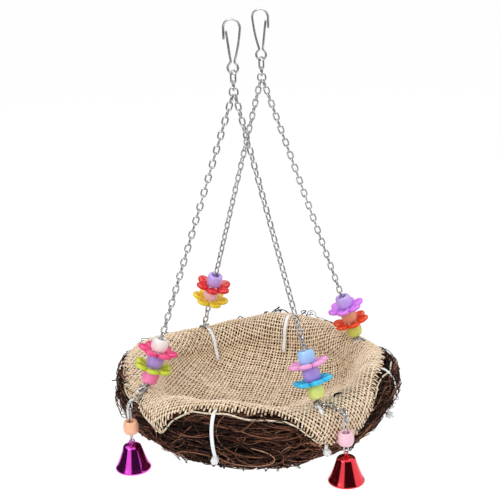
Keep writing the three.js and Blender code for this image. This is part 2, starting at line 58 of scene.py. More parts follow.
# camera
cameraView = {"yaw": 18.02, "pitch": 16.78, "roll": -1.85, "distance": 0.8345, "focal": 1204.6,
              "aimZ": -0.1515, "shiftX": -0.0021, "shiftY": -0.0092, "frame": 500, "sensor": 36}


def makeCamera(view):
    yaw, pitch, roll = (math.radians(view[key]) for key in ("yaw", "pitch", "roll"))
    level = math.cos(pitch)
    forward = Vector((-math.sin(yaw) * level, math.cos(yaw) * level, -math.sin(pitch)))
    right = Vector((math.cos(yaw), math.sin(yaw), 0))
    above = right.cross(forward)
    across = right * math.cos(roll) + above * math.sin(roll)
    upward = above * math.cos(roll) - right * math.sin(roll)
    camera = bpy.data.objects.new("camera", bpy.data.cameras.new("camera"))
    camera.data.sensor_width = view["sensor"]
    camera.data.lens = view["focal"] / view["frame"] * view["sensor"]
    camera.data.dof.use_dof = False
    spot = Vector((0, 0, view["aimZ"])) - forward * view["distance"]
    spot += across * view["shiftX"] + upward * view["shiftY"]
    camera.matrix_world = Matrix.Translation(spot) @ Matrix((across, upward, -forward)).transposed().to_4x4()
    scene.collection.objects.link(camera)
    scene.camera = camera


makeCamera(cameraView)
scene.view_settings.view_transform = "Standard"


# shader maths
class Value:
    def __init__(self, graph, socket):
        self.graph = graph
        self.socket = socket

    def maths(self, operation, first, second):
        return self.graph.node("ShaderNodeMath", {"operation": operation}, [first, second])

    def __add__(self, other):
        return self.maths("ADD", self, other)

    def __radd__(self, other):
        return self.maths("ADD", other, self)

    def __mul__(self, other):
        return self.maths("MULTIPLY", self, other)

    def __rmul__(self, other):
        return self.maths("MULTIPLY", other, self)


def setStops(ramp, stops):
    while len(ramp.elements) < len(stops):
        ramp.elements.new(1)
    for element, (place, color) in zip(ramp.elements, stops):
        element.position = place
        element.color = color


# a node tree, for a look or a shape
class Graph:
    def __init__(self, tree):
        self.tree = tree
        tree.nodes.clear()

    def node(self, kind, settings=None, inputs=None, output=0):
        made = self.tree.nodes.new(kind)
        for key, value in (settings or {}).items():
            if key == "stops":
                setStops(made.color_ramp, value)
            else:
                setattr(made, key, value)
        pairs = inputs.items() if isinstance(inputs, dict) else enumerate(inputs or [])
        for key, value in pairs:
            if isinstance(value, Value):
                self.tree.links.new(value.socket, made.inputs[key])
            else:
                made.inputs[key].default_value = value
        return Value(self, made.outputs[output]) if made.outputs else None


class Finish(Graph):
    def __init__(self, name):
        self.material = bpy.data.materials.new(name)
        self.material.use_nodes = True
        super().__init__(self.material.node_tree)

    def grain(self, scale, detail):
        place = self.node("ShaderNodeTexCoord", output="Object")
        return self.node("ShaderNodeTexNoise", None, {"Vector": place, "Scale": scale, "Detail": detail})

    # a distance along or around a swept piece
    def swept(self, axis):
        uv = self.node("ShaderNodeUVMap", {"uv_map": "along"})
        return self.node("ShaderNodeSeparateXYZ", None, [uv], axis)

    def ridges(self, value):
        return self.node("ShaderNodeMath", {"operation": "PINGPONG"}, [value, 1.0])

    def mixed(self, factor, first, second):
        return self.node("ShaderNodeMix", {"data_type": "RGBA"}, {0: factor, 6: first, 7: second}, 2)

    def ramp(self, factor, stops):
        return self.node("ShaderNodeValToRGB", {"stops": stops}, [factor])

    def bump(self, height, strength, distance):
        return self.node("ShaderNodeBump", None, {
            "Height": height, "Strength": strength, "Distance": distance})

    def attribute(self, name):
        return self.node("ShaderNodeAttribute", {"attribute_name": name}, output="Fac")

    def surface(self, **inputs):
        named = {key.replace("_", " "): value for key, value in inputs.items()}
        shader = self.node("ShaderNodeBsdfPrincipled", None, named)
        self.node("ShaderNodeOutputMaterial", None, [shader])
        return self.material


def linear(code, gain=1.0):
    parts = [int(code[i:i + 2], 16) / 255 for i in (0, 2, 4)]
    curve = [c / 12.92 if c <= 0.04045 else ((c + 0.055) / 1.055) ** 2.4 for c in parts]
    return tuple(min(1, c * gain) for c in curve) + (1,)


# finishes: grains as scale and detail, how rough and how far that spreads, and bumps as strength and depth
nickel = {"colors": ("9c9c9f", "e2e2e4"), "metal": 1, "cloud": (260, 3), "grain": (2600, 2), "rough": 0.09,
          "spread": 0.1, "bump": (0.12, 0.00005), "coat": (0, 0)}
gloss = {"gains": (0.88, 1.06), "metal": 0, "cloud": (150, 2), "grain": (1500, 2), "rough": 0.24,
         "spread": 0.16, "bump": (0.08, 0.0001), "coat": (0.25, 0.12)}
anodise = {"gains": (0.85, 1.12), "metal": 1, "cloud": (120, 3), "grain": (70, 1), "rough": 0.1,
           "spread": 0.08, "bump": (0.15, 0.0006), "coat": (0.35, 0.06)}
nylon = {"colors": ("e4e6e8", "f6f7f8"), "metal": 0, "cloud": (90, 2), "teeth": 1050, "rough": 0.34,
         "spread": 0.2, "bump": (0.2, 0.0003), "coat": (0, 0)}


# clouds between two colours with a fine bump, or with teeth across the straps of cable ties
def cloudFinish(name, form, code=None):
    f = Finish(name)
    if code:
        colors = [linear(code, gain) for gain in form["gains"]]
    else:
        colors = [linear(color) for color in form["colors"]]
    cloud = f.grain(*form["cloud"])
    height = f.ridges(f.swept("X") * form["teeth"]) if "teeth" in form else f.grain(*form["grain"])
    return f.surface(Base_Color=f.mixed(cloud, *colors), Metallic=form["metal"],
                     Roughness=cloud * form["spread"] + form["rough"], Coat_Weight=form["coat"][0],
                     Coat_Roughness=form["coat"][1], Normal=f.bump(height, *form["bump"]))


bark = {"fleck": (520, 3), "fibre": (1700, 2), "shade": 0.8, "flecks": 0.32, "dark": -0.05, "rough": 0.5,
        "spread": 0.3, "roughBy": "fleck", "shine": 0.15, "bump": (0.5, 0.0003),
        "stops": [(0.0, "050202"), (0.3, "170c08"), (0.55, "4b2c1f"), (0.8, "96654e"), (1.0, "d8aa8e")]}
# the core under the twigs is near-black as painted shade in the gaps between twigs and threads
packed = {"fleck": (520, 4), "fibre": (520, 4), "shade": 0, "flecks": 0.3, "dark": -0.04, "rough": 0.75,
          "spread": 0.2, "roughBy": "fleck", "shine": 0.05, "bump": (0.8, 0.001), "stops": bark["stops"]}
jute = {"fleck": (420, 3), "fibre": (2600, 2), "shade": 0.55, "flecks": 0.6, "dark": -0.08, "rough": 0.82,
        "spread": 0.15, "roughBy": "fibre", "shine": 0.5, "bump": (0.45, 0.0002),
        "stops": [(0.0, "74553f"), (0.3, "c4a484"), (0.62, "e8d2b4"), (1.0, "fbf0de")]}


# a tone from each strand's shade value, which holds its random tone and painted shade, and from flecks
def fibreFinish(name, form):
    f = Finish(name)
    grains = {key: f.grain(*form[key]) for key in ("fleck", "fibre")}
    tone = f.attribute("shade") * form["shade"] + grains["fleck"] * form["flecks"] + form["dark"]
    color = f.ramp(tone, [(place, linear(code)) for place, code in form["stops"]])
    return f.surface(Base_Color=color, Roughness=grains[form["roughBy"]] * form["spread"] + form["rough"],
                     Specular_IOR_Level=form["shine"], Normal=f.bump(grains["fibre"], *form["bump"]))


twine = {"colors": ("cfc0a2", "f0e7d2"), "turn": 420, "strands": 2, "rough": 0.82, "spread": 0.1,
         "bump": (0.6, 0.0004)}


# twisted string: the strands run along and around it, lighter on their ridges and darker in the grooves
# between them as painted shade
def twineFinish(form):
    f = Finish("twine")
    strand = f.ridges(f.swept("X") * form["turn"] + f.swept("Y") * form["strands"])
    color = f.mixed(strand, *(linear(code) for code in form["colors"]))
    return f.surface(Base_Color=color, Roughness=strand * form["spread"] + form["rough"],
                     Normal=f.bump(strand, *form["bump"]))


finishes = {"steel": cloudFinish("nickel", nickel), "nylon": cloudFinish("nylon", nylon),
            "twigs": fibreFinish("bark", bark), "burlap": fibreFinish("jute", jute),
            "twine": twineFinish(twine)}
paintedShadeTwigs = fibreFinish("packed twigs", packed)
plasticCodes = {
    "pink": "f77fb4", "lime": "c9dc3a", "lavender": "b294e2", "hot_pink": "ee4585", "cream": "f3ece6",
    "pale_yellow_green": "dbe27e", "cyan": "2cc3ee", "light_pink": "f4a3d6", "light_blue": "9fcaf7",
    "yellow": "f2d62c", "pale_pink": "f7c6d8", "red": "e0231f", "lilac": "c7a9f2", "yellow_green": "d9e36a",
    "orange": "f24a10", "peach": "f3a987", "violet_pink": "df7ff6", "bell_peach": "f8bb98",
    "bell_pink": "f6c6d6"}
for name, code in plasticCodes.items():
    finishes["plastic_" + name] = cloudFinish("plastic " + name.replace("_", " "), gloss, code)
finishes["anodised_front_left"] = cloudFinish("magenta anodised", anodise, "f04cdc")
finishes["anodised_front_right"] = cloudFinish("red anodised", anodise, "ee3c48")
print("finishes:", len(finishes) + 1)


# mesh helpers
def linked(name, mesh):
    thing = bpy.data.objects.new(name, mesh)
    scene.collection.objects.link(thing)
    return thing


def meshObject(name, points, faces, uvs=None):
    mesh = bpy.data.meshes.new(name)
    mesh.from_pydata([tuple(p) for p in points], [], faces)
    if uvs:
        layer = mesh.uv_layers.new(name="along")
        for face in mesh.polygons:
            for corner, spot in zip(face.loop_indices, uvs[face.index]):
                layer.data[corner].uv = spot
    mesh.polygons.foreach_set("use_smooth", [True] * len(mesh.polygons))
    mesh.update()
    return linked(name, mesh)


# quads between rows of points that each have the same number of sides
def rowFaces(rows, sides, closed=False):
    faces = []
    for i in range(rows if closed else rows - 1):
        this, after = i * sides, (i + 1) % rows * sides
        for k in range(sides):
            n = (k + 1) % sides
            faces.append((this + k, this + n, after + n, after + k))
    return faces


def endFaces(rows, sides):
    return [tuple(reversed(range(sides))), tuple(range((rows - 1) * sides, rows * sides))]


# frames along a path that turn as little as they can
def pathFrames(path, closed, normal=None):
    count = len(path)
    ways = []
    for i in range(count):
        before = path[i - 1] if i or closed else path[0]
        after = path[(i + 1) % count] if i < count - 1 or closed else path[-1]
        ways.append((after - before).normalized())
    if normal is not None:
        sides = [normal.cross(way).normalized() for way in ways]
        return ways, sides
    side = ways[0].orthogonal().normalized()
    sides = []
    for way in ways:
        side = (side - way * side.dot(way)).normalized()
        sides.append(side)
    if closed:
        back = (side - ways[0] * side.dot(ways[0])).normalized()
        slip = math.atan2(ways[0].dot(back.cross(sides[0])), back.dot(sides[0]))
        sides = [Matrix.Rotation(slip * i / count, 3, ways[i]) @ s for i, s in enumerate(sides)]
    return ways, sides


# a section swept along a path: section is (across, up) pairs, ends are closed
def sweep(path, section, closed=False, normal=None, sizes=None):
    ways, sides = pathFrames(path, closed, normal)
    count, turns = len(path), len(section)
    points, uvs = [], []
    lengths = [0.0]
    for i in range(1, count + 1):
        lengths.append(lengths[-1] + (path[i % count] - path[i - 1]).length)
    for i, spot in enumerate(path):
        lift = ways[i].cross(sides[i])
        size = sizes[i] if sizes else 1
        points += [spot + sides[i] * (u * size) + lift * (v * size) for u, v in section]
    for i in range(count if closed else count - 1):
        near, far = lengths[i], lengths[i + 1]
        for k in range(turns):
            low, high = k / turns, (k + 1) / turns
            uvs.append(((near, low), (near, high), (far, high), (far, low)))
    faces = rowFaces(count, turns, closed)
    if not closed:
        faces += endFaces(count, turns)
        uvs += [[(0, 0)] * turns] * 2
    return points, faces, uvs


def roundSection(radius, sides):
    turns = [2 * math.pi * k / sides for k in range(sides)]
    return [(radius * math.cos(a), radius * math.sin(a)) for a in turns]


# a flat strap with its four edges taken off
def strapSection(width, thickness, edge):
    corner = [(thickness / 2, width / 2 - edge), (thickness / 2 - edge, width / 2)]
    back = corner[::-1]
    half = corner + [(-u, v) for u, v in back]
    return half + [(-u, -v) for u, v in half]


# a smooth line through points, for wire and straps
def smoothLine(points, steps):
    ends = [points[0] * 2 - points[1], *points, points[-1] * 2 - points[-2]]
    line = []
    for p0, p1, p2, p3 in zip(ends, ends[1:], ends[2:], ends[3:]):
        for k in range(steps):
            t = k / steps
            line.append(0.5 * (2 * p1 + (p2 - p0) * t + (2 * p0 - 5 * p1 + 4 * p2 - p3) * t ** 2
                               + (3 * p1 - p0 - 3 * p2 + p3) * t ** 3))
    return line + [points[-1]]


domeTurns = (1.45, 1.1, 0.6)  # where rings lie on a wire's rounded end, from its tip


def wire(path, diameter, closed=False, sides=12):
    if closed:
        return sweep(path, roundSection(diameter / 2, sides), True)
    first, last = (path[0] - path[1]).normalized(), (path[-1] - path[-2]).normalized()
    dome = [(math.sin(a), math.cos(a)) for a in domeTurns]
    head = [path[0] + first * (diameter / 2 * out) for out, _ in dome]
    tail = [path[-1] + last * (diameter / 2 * out) for out, _ in reversed(dome)]
    sizes = [size for _, size in dome] + [1] * len(path) + [size for _, size in reversed(dome)]
    return sweep(head + path + tail, roundSection(diameter / 2, sides), sizes=sizes)


# a wire loop with straight sides, in the XZ plane with its middle at the origin
def loopPath(width, length, diameter, turn=8):
    radius = (width - diameter) / 2
    straight = (length - width) / 2
    stops = turn + 1 if straight else turn  # a round ring has no straight sides
    path = []
    for end in (1, -1):
        for k in range(stops):
            angle = math.pi * k / turn + (0 if end > 0 else math.pi)
            path.append(Vector((radius * math.cos(angle), 0, radius * math.sin(angle) + end * straight)))
    return path


def moved(points, matrix):
    return [matrix @ Vector(p) for p in points]


def wireLoop(width, length, diameter, place, turn=8, sides=12):
    path = moved(loopPath(width * mm, length * mm, diameter * mm, turn), place)
    return wire(path, diameter * mm, True, sides)


# a profile of (radius, height) in millimetres turned about Z
def lathe(profile, sides, closed=True):
    points = [Vector((x, y, z)) * mm for r, z in profile for x, y in roundSection(r, sides)]
    faces = rowFaces(len(profile), sides, closed)
    return points, faces if closed else faces + endFaces(len(profile), sides)


def outward(thing):
    built = bmesh.new()
    built.from_mesh(thing.data)
    bmesh.ops.remove_doubles(built, verts=built.verts, dist=1e-7)
    bmesh.ops.recalc_face_normals(built, faces=built.faces)
    built.to_mesh(thing.data)
    built.free()
    return thing


def joinParts(parts):
    points, faces, uvs = [], [], []
    for part in parts:
        shift = len(points)
        points += part[0]
        faces += [tuple(i + shift for i in face) for face in part[1]]
        uvs += part[2] if len(part) > 2 else [[(0, 0)] * len(face) for face in part[1]]
    return points, faces, uvs


# geometry nodes
class Tree(Graph):
    def __init__(self, name, inputs):
        super().__init__(bpy.data.node_groups.new(name, "GeometryNodeTree"))
        face = self.tree.interface
        face.new_socket("Geometry", in_out="INPUT", socket_type="NodeSocketGeometry")
        self.sockets = {label: face.new_socket(label, in_out="INPUT", socket_type="NodeSocket" + kind)
                        for label, kind in inputs.items()}
        face.new_socket("Geometry", in_out="OUTPUT", socket_type="NodeSocketGeometry")

    def given(self, label):
        return self.node("NodeGroupInput", output=label)

    def stored(self, kind, name):
        return self.node("GeometryNodeInputNamedAttribute", {"data_type": kind}, {"Name": name})

    def close(self, geometry):
        whole = self.node("GeometryNodeRealizeInstances", None, [geometry])
        dressed = self.node("GeometryNodeSetMaterial", None, {
            "Geometry": whole, "Material": self.given("Material")})
        self.node("NodeGroupOutput", None, [dressed])
        return self


# a pattern set on every point, turned by the point's own angles
def repeatTree():
    tree = Tree("repeatPattern", {"Pattern": "Object", "Material": "Material"})
    pattern = tree.node("GeometryNodeObjectInfo", None, {"Object": tree.given("Pattern")}, "Geometry")
    turn = tree.node("FunctionNodeEulerToRotation", None, [tree.stored("FLOAT_VECTOR", "turn")])
    return tree.close(tree.node("GeometryNodeInstanceOnPoints", None, {
        "Points": tree.given("Geometry"), "Instance": pattern, "Rotation": turn}))


# strands along every chain of edges, as thick as their points say, flat against what they lie on
def strandTree():
    tree = Tree("roundStrands", {"Sides": "Int", "Flat": "Vector", "Material": "Material"})
    lines = tree.node("GeometryNodeMeshToCurve", None, {"Mesh": tree.given("Geometry")})
    lines = tree.node("GeometryNodeSetCurveNormal", {"mode": "FREE"}, {
        "Curve": lines, "Normal": tree.stored("FLOAT_VECTOR", "lie")})
    section = tree.node("GeometryNodeCurvePrimitiveCircle", None, {
        "Resolution": tree.given("Sides"), "Radius": 1.0})
    section = tree.node("GeometryNodeTransform", None, {"Geometry": section, "Scale": tree.given("Flat")})
    tubes = tree.node("GeometryNodeCurveToMesh", None, {
        "Curve": lines, "Profile Curve": section, "Scale": tree.stored("FLOAT", "thick"), "Fill Caps": True})
    return tree.close(tree.node("GeometryNodeSetShadeSmooth", None, {"Geometry": tubes}))


repeatPattern, roundStrands = repeatTree(), strandTree()


def grow(host, tree, values):
    modifier = host.modifiers.new("grow", "NODES")
    modifier.node_group = tree.tree
    for label, value in values.items():
        modifier[tree.sockets[label].identifier] = value
    graph = bpy.context.evaluated_depsgraph_get()
    grown = host.evaluated_get(graph)
    made = bpy.data.meshes.new_from_object(grown, preserve_all_data_layers=True, depsgraph=graph)
    host.modifiers.remove(modifier)
    old = host.data
    host.data = made
    bpy.data.meshes.remove(old)
    return host


def setPoints(mesh, name, values):
    wide = np.ndim(values) > 1
    layer = mesh.attributes.new(name, "FLOAT_VECTOR" if wide else "FLOAT", "POINT")
    layer.data.foreach_set("vector" if wide else "value", np.ravel(values))


def pointHost(name, spots, turns):
    mesh = bpy.data.meshes.new(name)
    mesh.from_pydata([tuple(s) for s in spots], [], [])
    setPoints(mesh, "turn", [tuple(t) for t in turns])
    return linked(name, mesh)


# edges for strands of (path, sizes, tone, direction away from what they lie on)
def strandHost(name, strands):
    points, edges, thick, shade, lie = [], [], [], [], []
    for path, sizes, tone, above in strands:
        start = len(points)
        points += [tuple(p) for p in path]
        edges += [(start + i, start + i + 1) for i in range(len(path) - 1)]
        thick += list(sizes)
        shade += list(np.broadcast_to(tone, len(path)))
        way = np.gradient(np.asarray(path), axis=0)
        side = np.cross(way, above)
        size = np.linalg.norm(side, axis=1) * np.linalg.norm(way, axis=1) + 1e-15
        lie.append(np.cross(side, way) / size[:, None])
    mesh = bpy.data.meshes.new(name)
    mesh.from_pydata(points, edges, [])
    setPoints(mesh, "thick", thick)
    setPoints(mesh, "shade", shade)
    setPoints(mesh, "lie", np.concatenate(lie))
    return linked(name, mesh)


def finishPiece(thing, node, material=None):
    if not thing.data.materials:
        thing.data.materials.append(material or finishes[slotOf[node]])
    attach(thing, bodyOf[node])
    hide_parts(node)
    return thing


def pieceName(node):
    first, *rest = node.split("_")
    return first + "".join(word.capitalize() for word in rest)


def piece(node, parts):
    thing = meshObject(pieceName(node), *joinParts(parts))
    return finishPiece(outward(thing), node)


# nest section: bowl, crest, flank and base, as in the solid, in millimetres
nestForm = {"crestZ": -245.0, "wave": 3.5, "radius": 98.0, "crest": 12.0, "depth": 51.0, "base": 45.0,
            "bowl": 42.0, "courses": 5, "course": 2.4, "steps": 400}
crestBase = nestForm["crestZ"] - nestForm["crest"]
crestMiddle = nestForm["radius"] - nestForm["crest"]
baseZ = nestForm["crestZ"] - nestForm["depth"]


def ellipse(middle, across, rise, first, last, skip):
    turns = np.linspace(first, last, nestForm["steps"] + 1)[skip:]
    return np.stack([middle + across * np.cos(turns), crestBase + rise * np.sin(turns)], axis=-1)


def sectionLine():
    form, quarter = nestForm, math.pi / 2
    crest = form["crest"]
    bowl = ellipse(0, crestMiddle - crest, form["bowl"] - crest, -quarter, 0, 0)
    rim = ellipse(crestMiddle, crest, crest, math.pi, 0, 1)
    flank = ellipse(form["base"], form["radius"] - form["base"], form["depth"] - crest, 0, -quarter, 1)
    inward = np.linspace(form["base"], 0, form["steps"] + 1)[1:]
    return np.concatenate([bowl, rim, flank, np.stack([inward, np.full(form["steps"], baseZ)], axis=-1)])


section = sectionLine()
reach = np.concatenate([[0], np.cumsum(np.hypot(*np.diff(section, axis=0).T))])
sectionWays = np.gradient(section, reach, axis=0)
sectionWays /= np.linalg.norm(sectionWays, axis=1)[:, None]
crestStart, crestEnd, flankEnd = reach[nestForm["steps"] * np.arange(1, 4)]
crestTop = (crestStart + crestEnd) / 2


def sameShape(*values):
    return np.broadcast_arrays(*(np.asarray(v, float) for v in values))


# points on the nest in metres, from angles, distances along the section and lifts in millimetres
def onNest(angle, distance, lift):
    angle, distance, lift = sameShape(angle, distance, lift)
    r, z = (np.interp(distance, reach, section[:, k]) for k in (0, 1))
    wr, wz = (np.interp(distance, reach, sectionWays[:, k]) for k in (0, 1))
    size = np.hypot(wr, wz)
    floor = np.where(distance < crestTop, nestForm["crestZ"] - nestForm["bowl"], baseZ)
    share = np.clip((z - floor) / (nestForm["crestZ"] - floor), 0, 1)
    r2 = r - wz / size * lift
    z2 = z + wr / size * lift + nestForm["wave"] * share * np.cos(4 * angle)
    return np.stack([r2 * np.cos(angle), r2 * np.sin(angle), z2], axis=-1) * mm


def vectors(array):
    return [Vector(p) for p in np.asarray(array).reshape(-1, 3)]


def polar(angle, r, z):
    return Vector((r * math.cos(angle), r * math.sin(angle), z))


# hooks and links
hookForm = {"wire": 1.5, "half": abs(jointOf["front_swing"]["pos_m"][1]) / mm, "crown": 5.6,
            "crownZ": -4.765, "nose": 6.8, "drop": 26.2, "bow": 0.6, "neck": 1.3, "eye": 3.5, "eyeZ": -30.258,
            "eyeFrom": 52, "tip": (-3.8, -7.0), "root": 0.8, "gap": 0.3, "sides": 14}


def hookWires(form, y, mirror):
    crown, crownZ, drop, neckX = (form[key] for key in ("crown", "crownZ", "drop", "neck"))
    nose = [(-crown, crownZ - form["nose"])]
    arc = [(crown * math.cos(a), crownZ + crown * math.sin(a)) for a in np.linspace(math.pi, 0, 17)]
    fall = [(crown + (neckX - crown) * t + form["bow"] * math.sin(math.pi * t), crownZ - (drop + crownZ) * t)
            for t in (0.2, 0.4, 0.6, 0.8, 1)]
    start = math.radians(form["eyeFrom"])
    eye = [(form["eye"] * math.cos(a), form["eyeZ"] + form["eye"] * math.sin(a))
           for a in np.linspace(start, -math.pi - start, 19)]
    neck, tip = (Vector((x, 0, z)) for x, z in ((-neckX, -drop), form["tip"]))
    way = (tip - neck).normalized()
    line = [Vector((x, 0, z)) for x, z in nose + arc + fall + eye]
    line += [neck, neck + way * form["root"]]
    gate = [neck + way * (form["root"] + form["gap"]), neck.lerp(tip, 0.5), tip]
    place = Matrix.Translation((0, y * mm, 0)) @ Matrix.Diagonal((mirror * mm, mm, mm, 1))
    return [smoothLine(moved(part, place), 3) for part in (line, gate)]


for end, side in (("front", -1), ("back", 1)):
    wires = hookWires(hookForm, side * hookForm["half"], -side)
    for node, line in zip((f"{end}_hook", f"{end}_hook_gate"), wires):
        piece(node, [wire(line, hookForm["wire"] * mm, sides=hookForm["sides"])])

# width, length and wire of each link, and its turn about the chain's line
linkForm = {"top_link": (5.2, 10, 1.2, 60), "junction_link": (5, 7.2, 1.1, 120),
            "fork_link": (6.8, 7.4, 1.1, 0)}


def boxMiddle(node):
    low, high = (Vector(spot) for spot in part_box(node))
    return (low + high) / 2


for end in ("front", "back"):
    for kind, (width, length, thick, turn) in linkForm.items():
        place = Matrix.Translation(boxMiddle(f"{end}_{kind}")) @ Matrix.Rotation(math.radians(turn), 4, "Z")
        piece(f"{end}_{kind}", [wireLoop(width, length, thick, place, 10)])
print("hooks and links: 10 pieces")

# chains
chainForm = {"wire": 1.15, "width": 4.6, "pitch": 4.9, "grip": 0.3, "forkWire": 1.1, "ringWire": 1.2,
             "spread": 1.2, "forkSeat": -48.71, "fit": 0.3, "backSlack": 1.2, "linkFit": 0.75, "sides": 7,
             "bend": 5}
cornerTurns = {"front_left": 1.25 * math.pi, "front_right": 1.75 * math.pi, "back_right": 0.25 * math.pi,
               "back_left": 0.75 * math.pi}
topOf = {corner: jointOf[f"{corner}_bead_2_spin"] for corner in cornerTurns if corner != "back_left"}
topOf["back_left"] = jointOf["back_left_flower_2_spin"]


def linkPattern(pitch):
    form = chainForm
    length = pitch + 2 * form["wire"] - form["grip"]
    loop = wireLoop(form["width"], length, form["wire"], Matrix(), form["bend"], form["sides"])
    return outward(meshObject("linkPattern", *loop))


# links between contact points: each turns a quarter from the last, with a slow twist to the last one's side
def chainLinks(contacts, side, lastSide):
    last = len(contacts) - 2

    def linkBasis(i):
        axis = (contacts[i] - contacts[i + 1]).normalized()
        across = (side - axis * side.dot(axis)).normalized()
        return axis, across, axis.cross(across)

    _, across, out = linkBasis(last)
    extra = math.atan2(lastSide.dot(out), lastSide.dot(across)) - last * math.pi / 2
    twist = extra - math.pi * round(extra / math.pi)
    spots, turns = [], []
    for i in range(last + 1):
        axis, across, out = linkBasis(i)
        basis = Matrix((across, out, axis)).transposed()
        roll = Matrix.Rotation(i * math.pi / 2 + twist * i / last, 3, "Z")
        spots.append((contacts[i] + contacts[i + 1]) / 2)
        turns.append((basis @ roll).to_euler())
    return spots, turns


def chainPiece(node, contacts, side, lastSide):
    pattern = linkPattern((contacts[1] - contacts[0]).length / mm)
    host = pointHost(pieceName(node), *chainLinks(contacts, side, lastSide))
    grow(host, repeatPattern, {"Pattern": pattern, "Material": finishes["steel"]})
    bpy.data.objects.remove(pattern)
    return finishPiece(host, node)


def mainContacts(corner):
    form, angle = chainForm, cornerTurns[corner]
    back = math.sin(angle) > 0
    fork = Vector((math.copysign(form["spread"], math.cos(angle)),
                   math.copysign(hookForm["half"], math.sin(angle)), form["forkSeat"])) * mm
    ring = Vector(topOf[corner]["pos_m"])
    down = (ring - fork).normalized()
    start = fork - down * ((form["forkWire"] + form["grip"]) / 2 + form["fit"]) * mm
    slack = form["backSlack"] if back else form["fit"]
    end = ring + down * ((form["ringWire"] + form["grip"]) / 2 + slack) * mm
    count = round((end - start).length / (form["pitch"] * mm))
    return [start.lerp(end, i / count) for i in range(count + 1)]


for corner, angle in cornerTurns.items():
    chainPiece(f"{corner}_chain", mainContacts(corner), Vector((0, 1, 0)), polar(angle, 1, 0))

ringForm = {"radius": 3.6, "wire": 1.2, "bend": 14, "lean": 28, "dropStart": 80, "dropRoll": 42,
            "dropLinks": 5}


def ringBasis(corner):
    angle, lean = cornerTurns[corner], math.radians(ringForm["lean"])
    rise = polar(angle, -math.cos(lean), math.sin(lean))
    tangent = polar(angle + math.pi / 2, 1, 0)
    return boxMiddle(f"{corner}_anchor_ring"), rise, tangent


for corner in cornerTurns:
    centre, rise, tangent = ringBasis(corner)
    basis = Matrix((tangent, rise.cross(tangent), rise)).transposed().to_4x4()
    across = 2 * ringForm["radius"] + ringForm["wire"]
    place = Matrix.Translation(centre) @ basis
    piece(f"{corner}_anchor_ring", [wireLoop(across, across, ringForm["wire"], place, ringForm["bend"])])
print("chains and rings: 8 pieces")

# beads and flowers
# a bead's size is its diameter, height, bore and how round its wall is
beadForm = {"size": (11.6, 8.8, 5.5, 0.62), "sides": 40, "cut": 68, "rows": 17, "mouth": 0.75, "inset": 0.12,
            "lip": [(0.9, 0), (0.3, 0.15), (0, 0.7)]}
flowerForm = {"diameter": 27.6, "hub": 2.5, "hubDiameter": 10.6, "hubSides": 36, "hubRows": 26,
              "hubEdge": 0.4, "bore": 5.5, "petals": 6, "length": 10.8, "width": 8.9, "thick": 5.4,
              "under": 0.6, "round": 0.75, "dent": 1.4, "dentSpread": (1.6, 2.0), "dentShift": 0.1,
              "broad": (0.22, 0.12), "rise": 0.2, "riseFrom": 5, "sink": 0.2, "rings": 16, "sides": 28,
              "spin": 31}


# a barrel bead with rounded mouths, its foot at the origin
def barrel(diameter, height, bore, bulge):
    form = beadForm
    half, radius, hole = height / 2, diameter / 2, bore / 2
    lip, cut = hole + form["mouth"], math.radians(form["cut"])
    rise = (half - form["inset"]) / math.sin(cut)
    turns = np.linspace(-cut, cut, form["rows"])
    profile = [(lip + (radius - lip) * math.cos(a) ** bulge, half + rise * math.sin(a)) for a in turns]
    mouth = [(hole + r, z) for r, z in form["lip"]]
    profile += [(r, height - z) for r, z in mouth] + [(hole, half)] + mouth[::-1]
    return lathe(profile, form["sides"])


# one petal along +X: a rounded lobe with a hollow on top
def petalPattern(form):
    points = []
    rows, sides, half = form["rings"] - 1, form["sides"], form["length"] / 2
    spreadX, spreadY = form["dentSpread"]
    more, less = form["broad"]  # broadest past the middle
    for i in range(1, form["rings"]):
        tilt = math.pi * i / form["rings"]
        for u, v in roundSection(1, sides):
            x, y, z = math.sin(tilt) * u, math.sin(tilt) * v, math.cos(tilt)
            height = form["thick"] / 2 * math.copysign(abs(z) ** form["round"], z)
            if z > 0:
                dip = (x * spreadX + form["dentShift"]) ** 2 + (y * spreadY) ** 2
                height -= form["dent"] * math.exp(-dip)
            else:
                height *= form["under"]
            along = form["diameter"] / 2 - half + half * x
            across = form["width"] / 2 * y * (1 + more * x - less * x * x)
            lift = form["hub"] / 2 + form["rise"] * (along - form["riseFrom"]) - form["sink"]
            points.append(Vector((along, across, height + lift)) * mm)
    return outward(meshObject("petalPattern", points, rowFaces(rows, sides) + endFaces(rows, sides)))


# the flower's middle, a soft-edged ring
def hubParts(form):
    hole, middle = form["bore"] / 2, form["hub"] / 2
    half = (form["hubDiameter"] / 2 - hole) / 2

    def soft(value):
        return math.copysign(abs(value) ** form["hubEdge"], value)

    turns = np.linspace(-math.pi * 0.98, math.pi * 0.98, form["hubRows"])
    rim = [(hole + half + half * soft(math.cos(a)), middle + middle * soft(math.sin(a))) for a in turns]
    return lathe([(hole, middle)] + rim, form["hubSides"])


def stackPlace(corner, node):
    foot, axis = Vector(topOf[corner]["pos_m"]), Vector(topOf[corner]["axis"])
    spots = [v.co for v in frame["nodes"][node].data.vertices]
    height = min((spot - foot).dot(axis) for spot in spots)
    turn = Vector((0, 0, 1)).rotation_difference(axis).to_matrix().to_4x4()
    return Matrix.Translation(foot + axis * height) @ turn


stackTurns = {"front_left": 10, "front_right": 24, "back_left": 38, "back_right": 52}


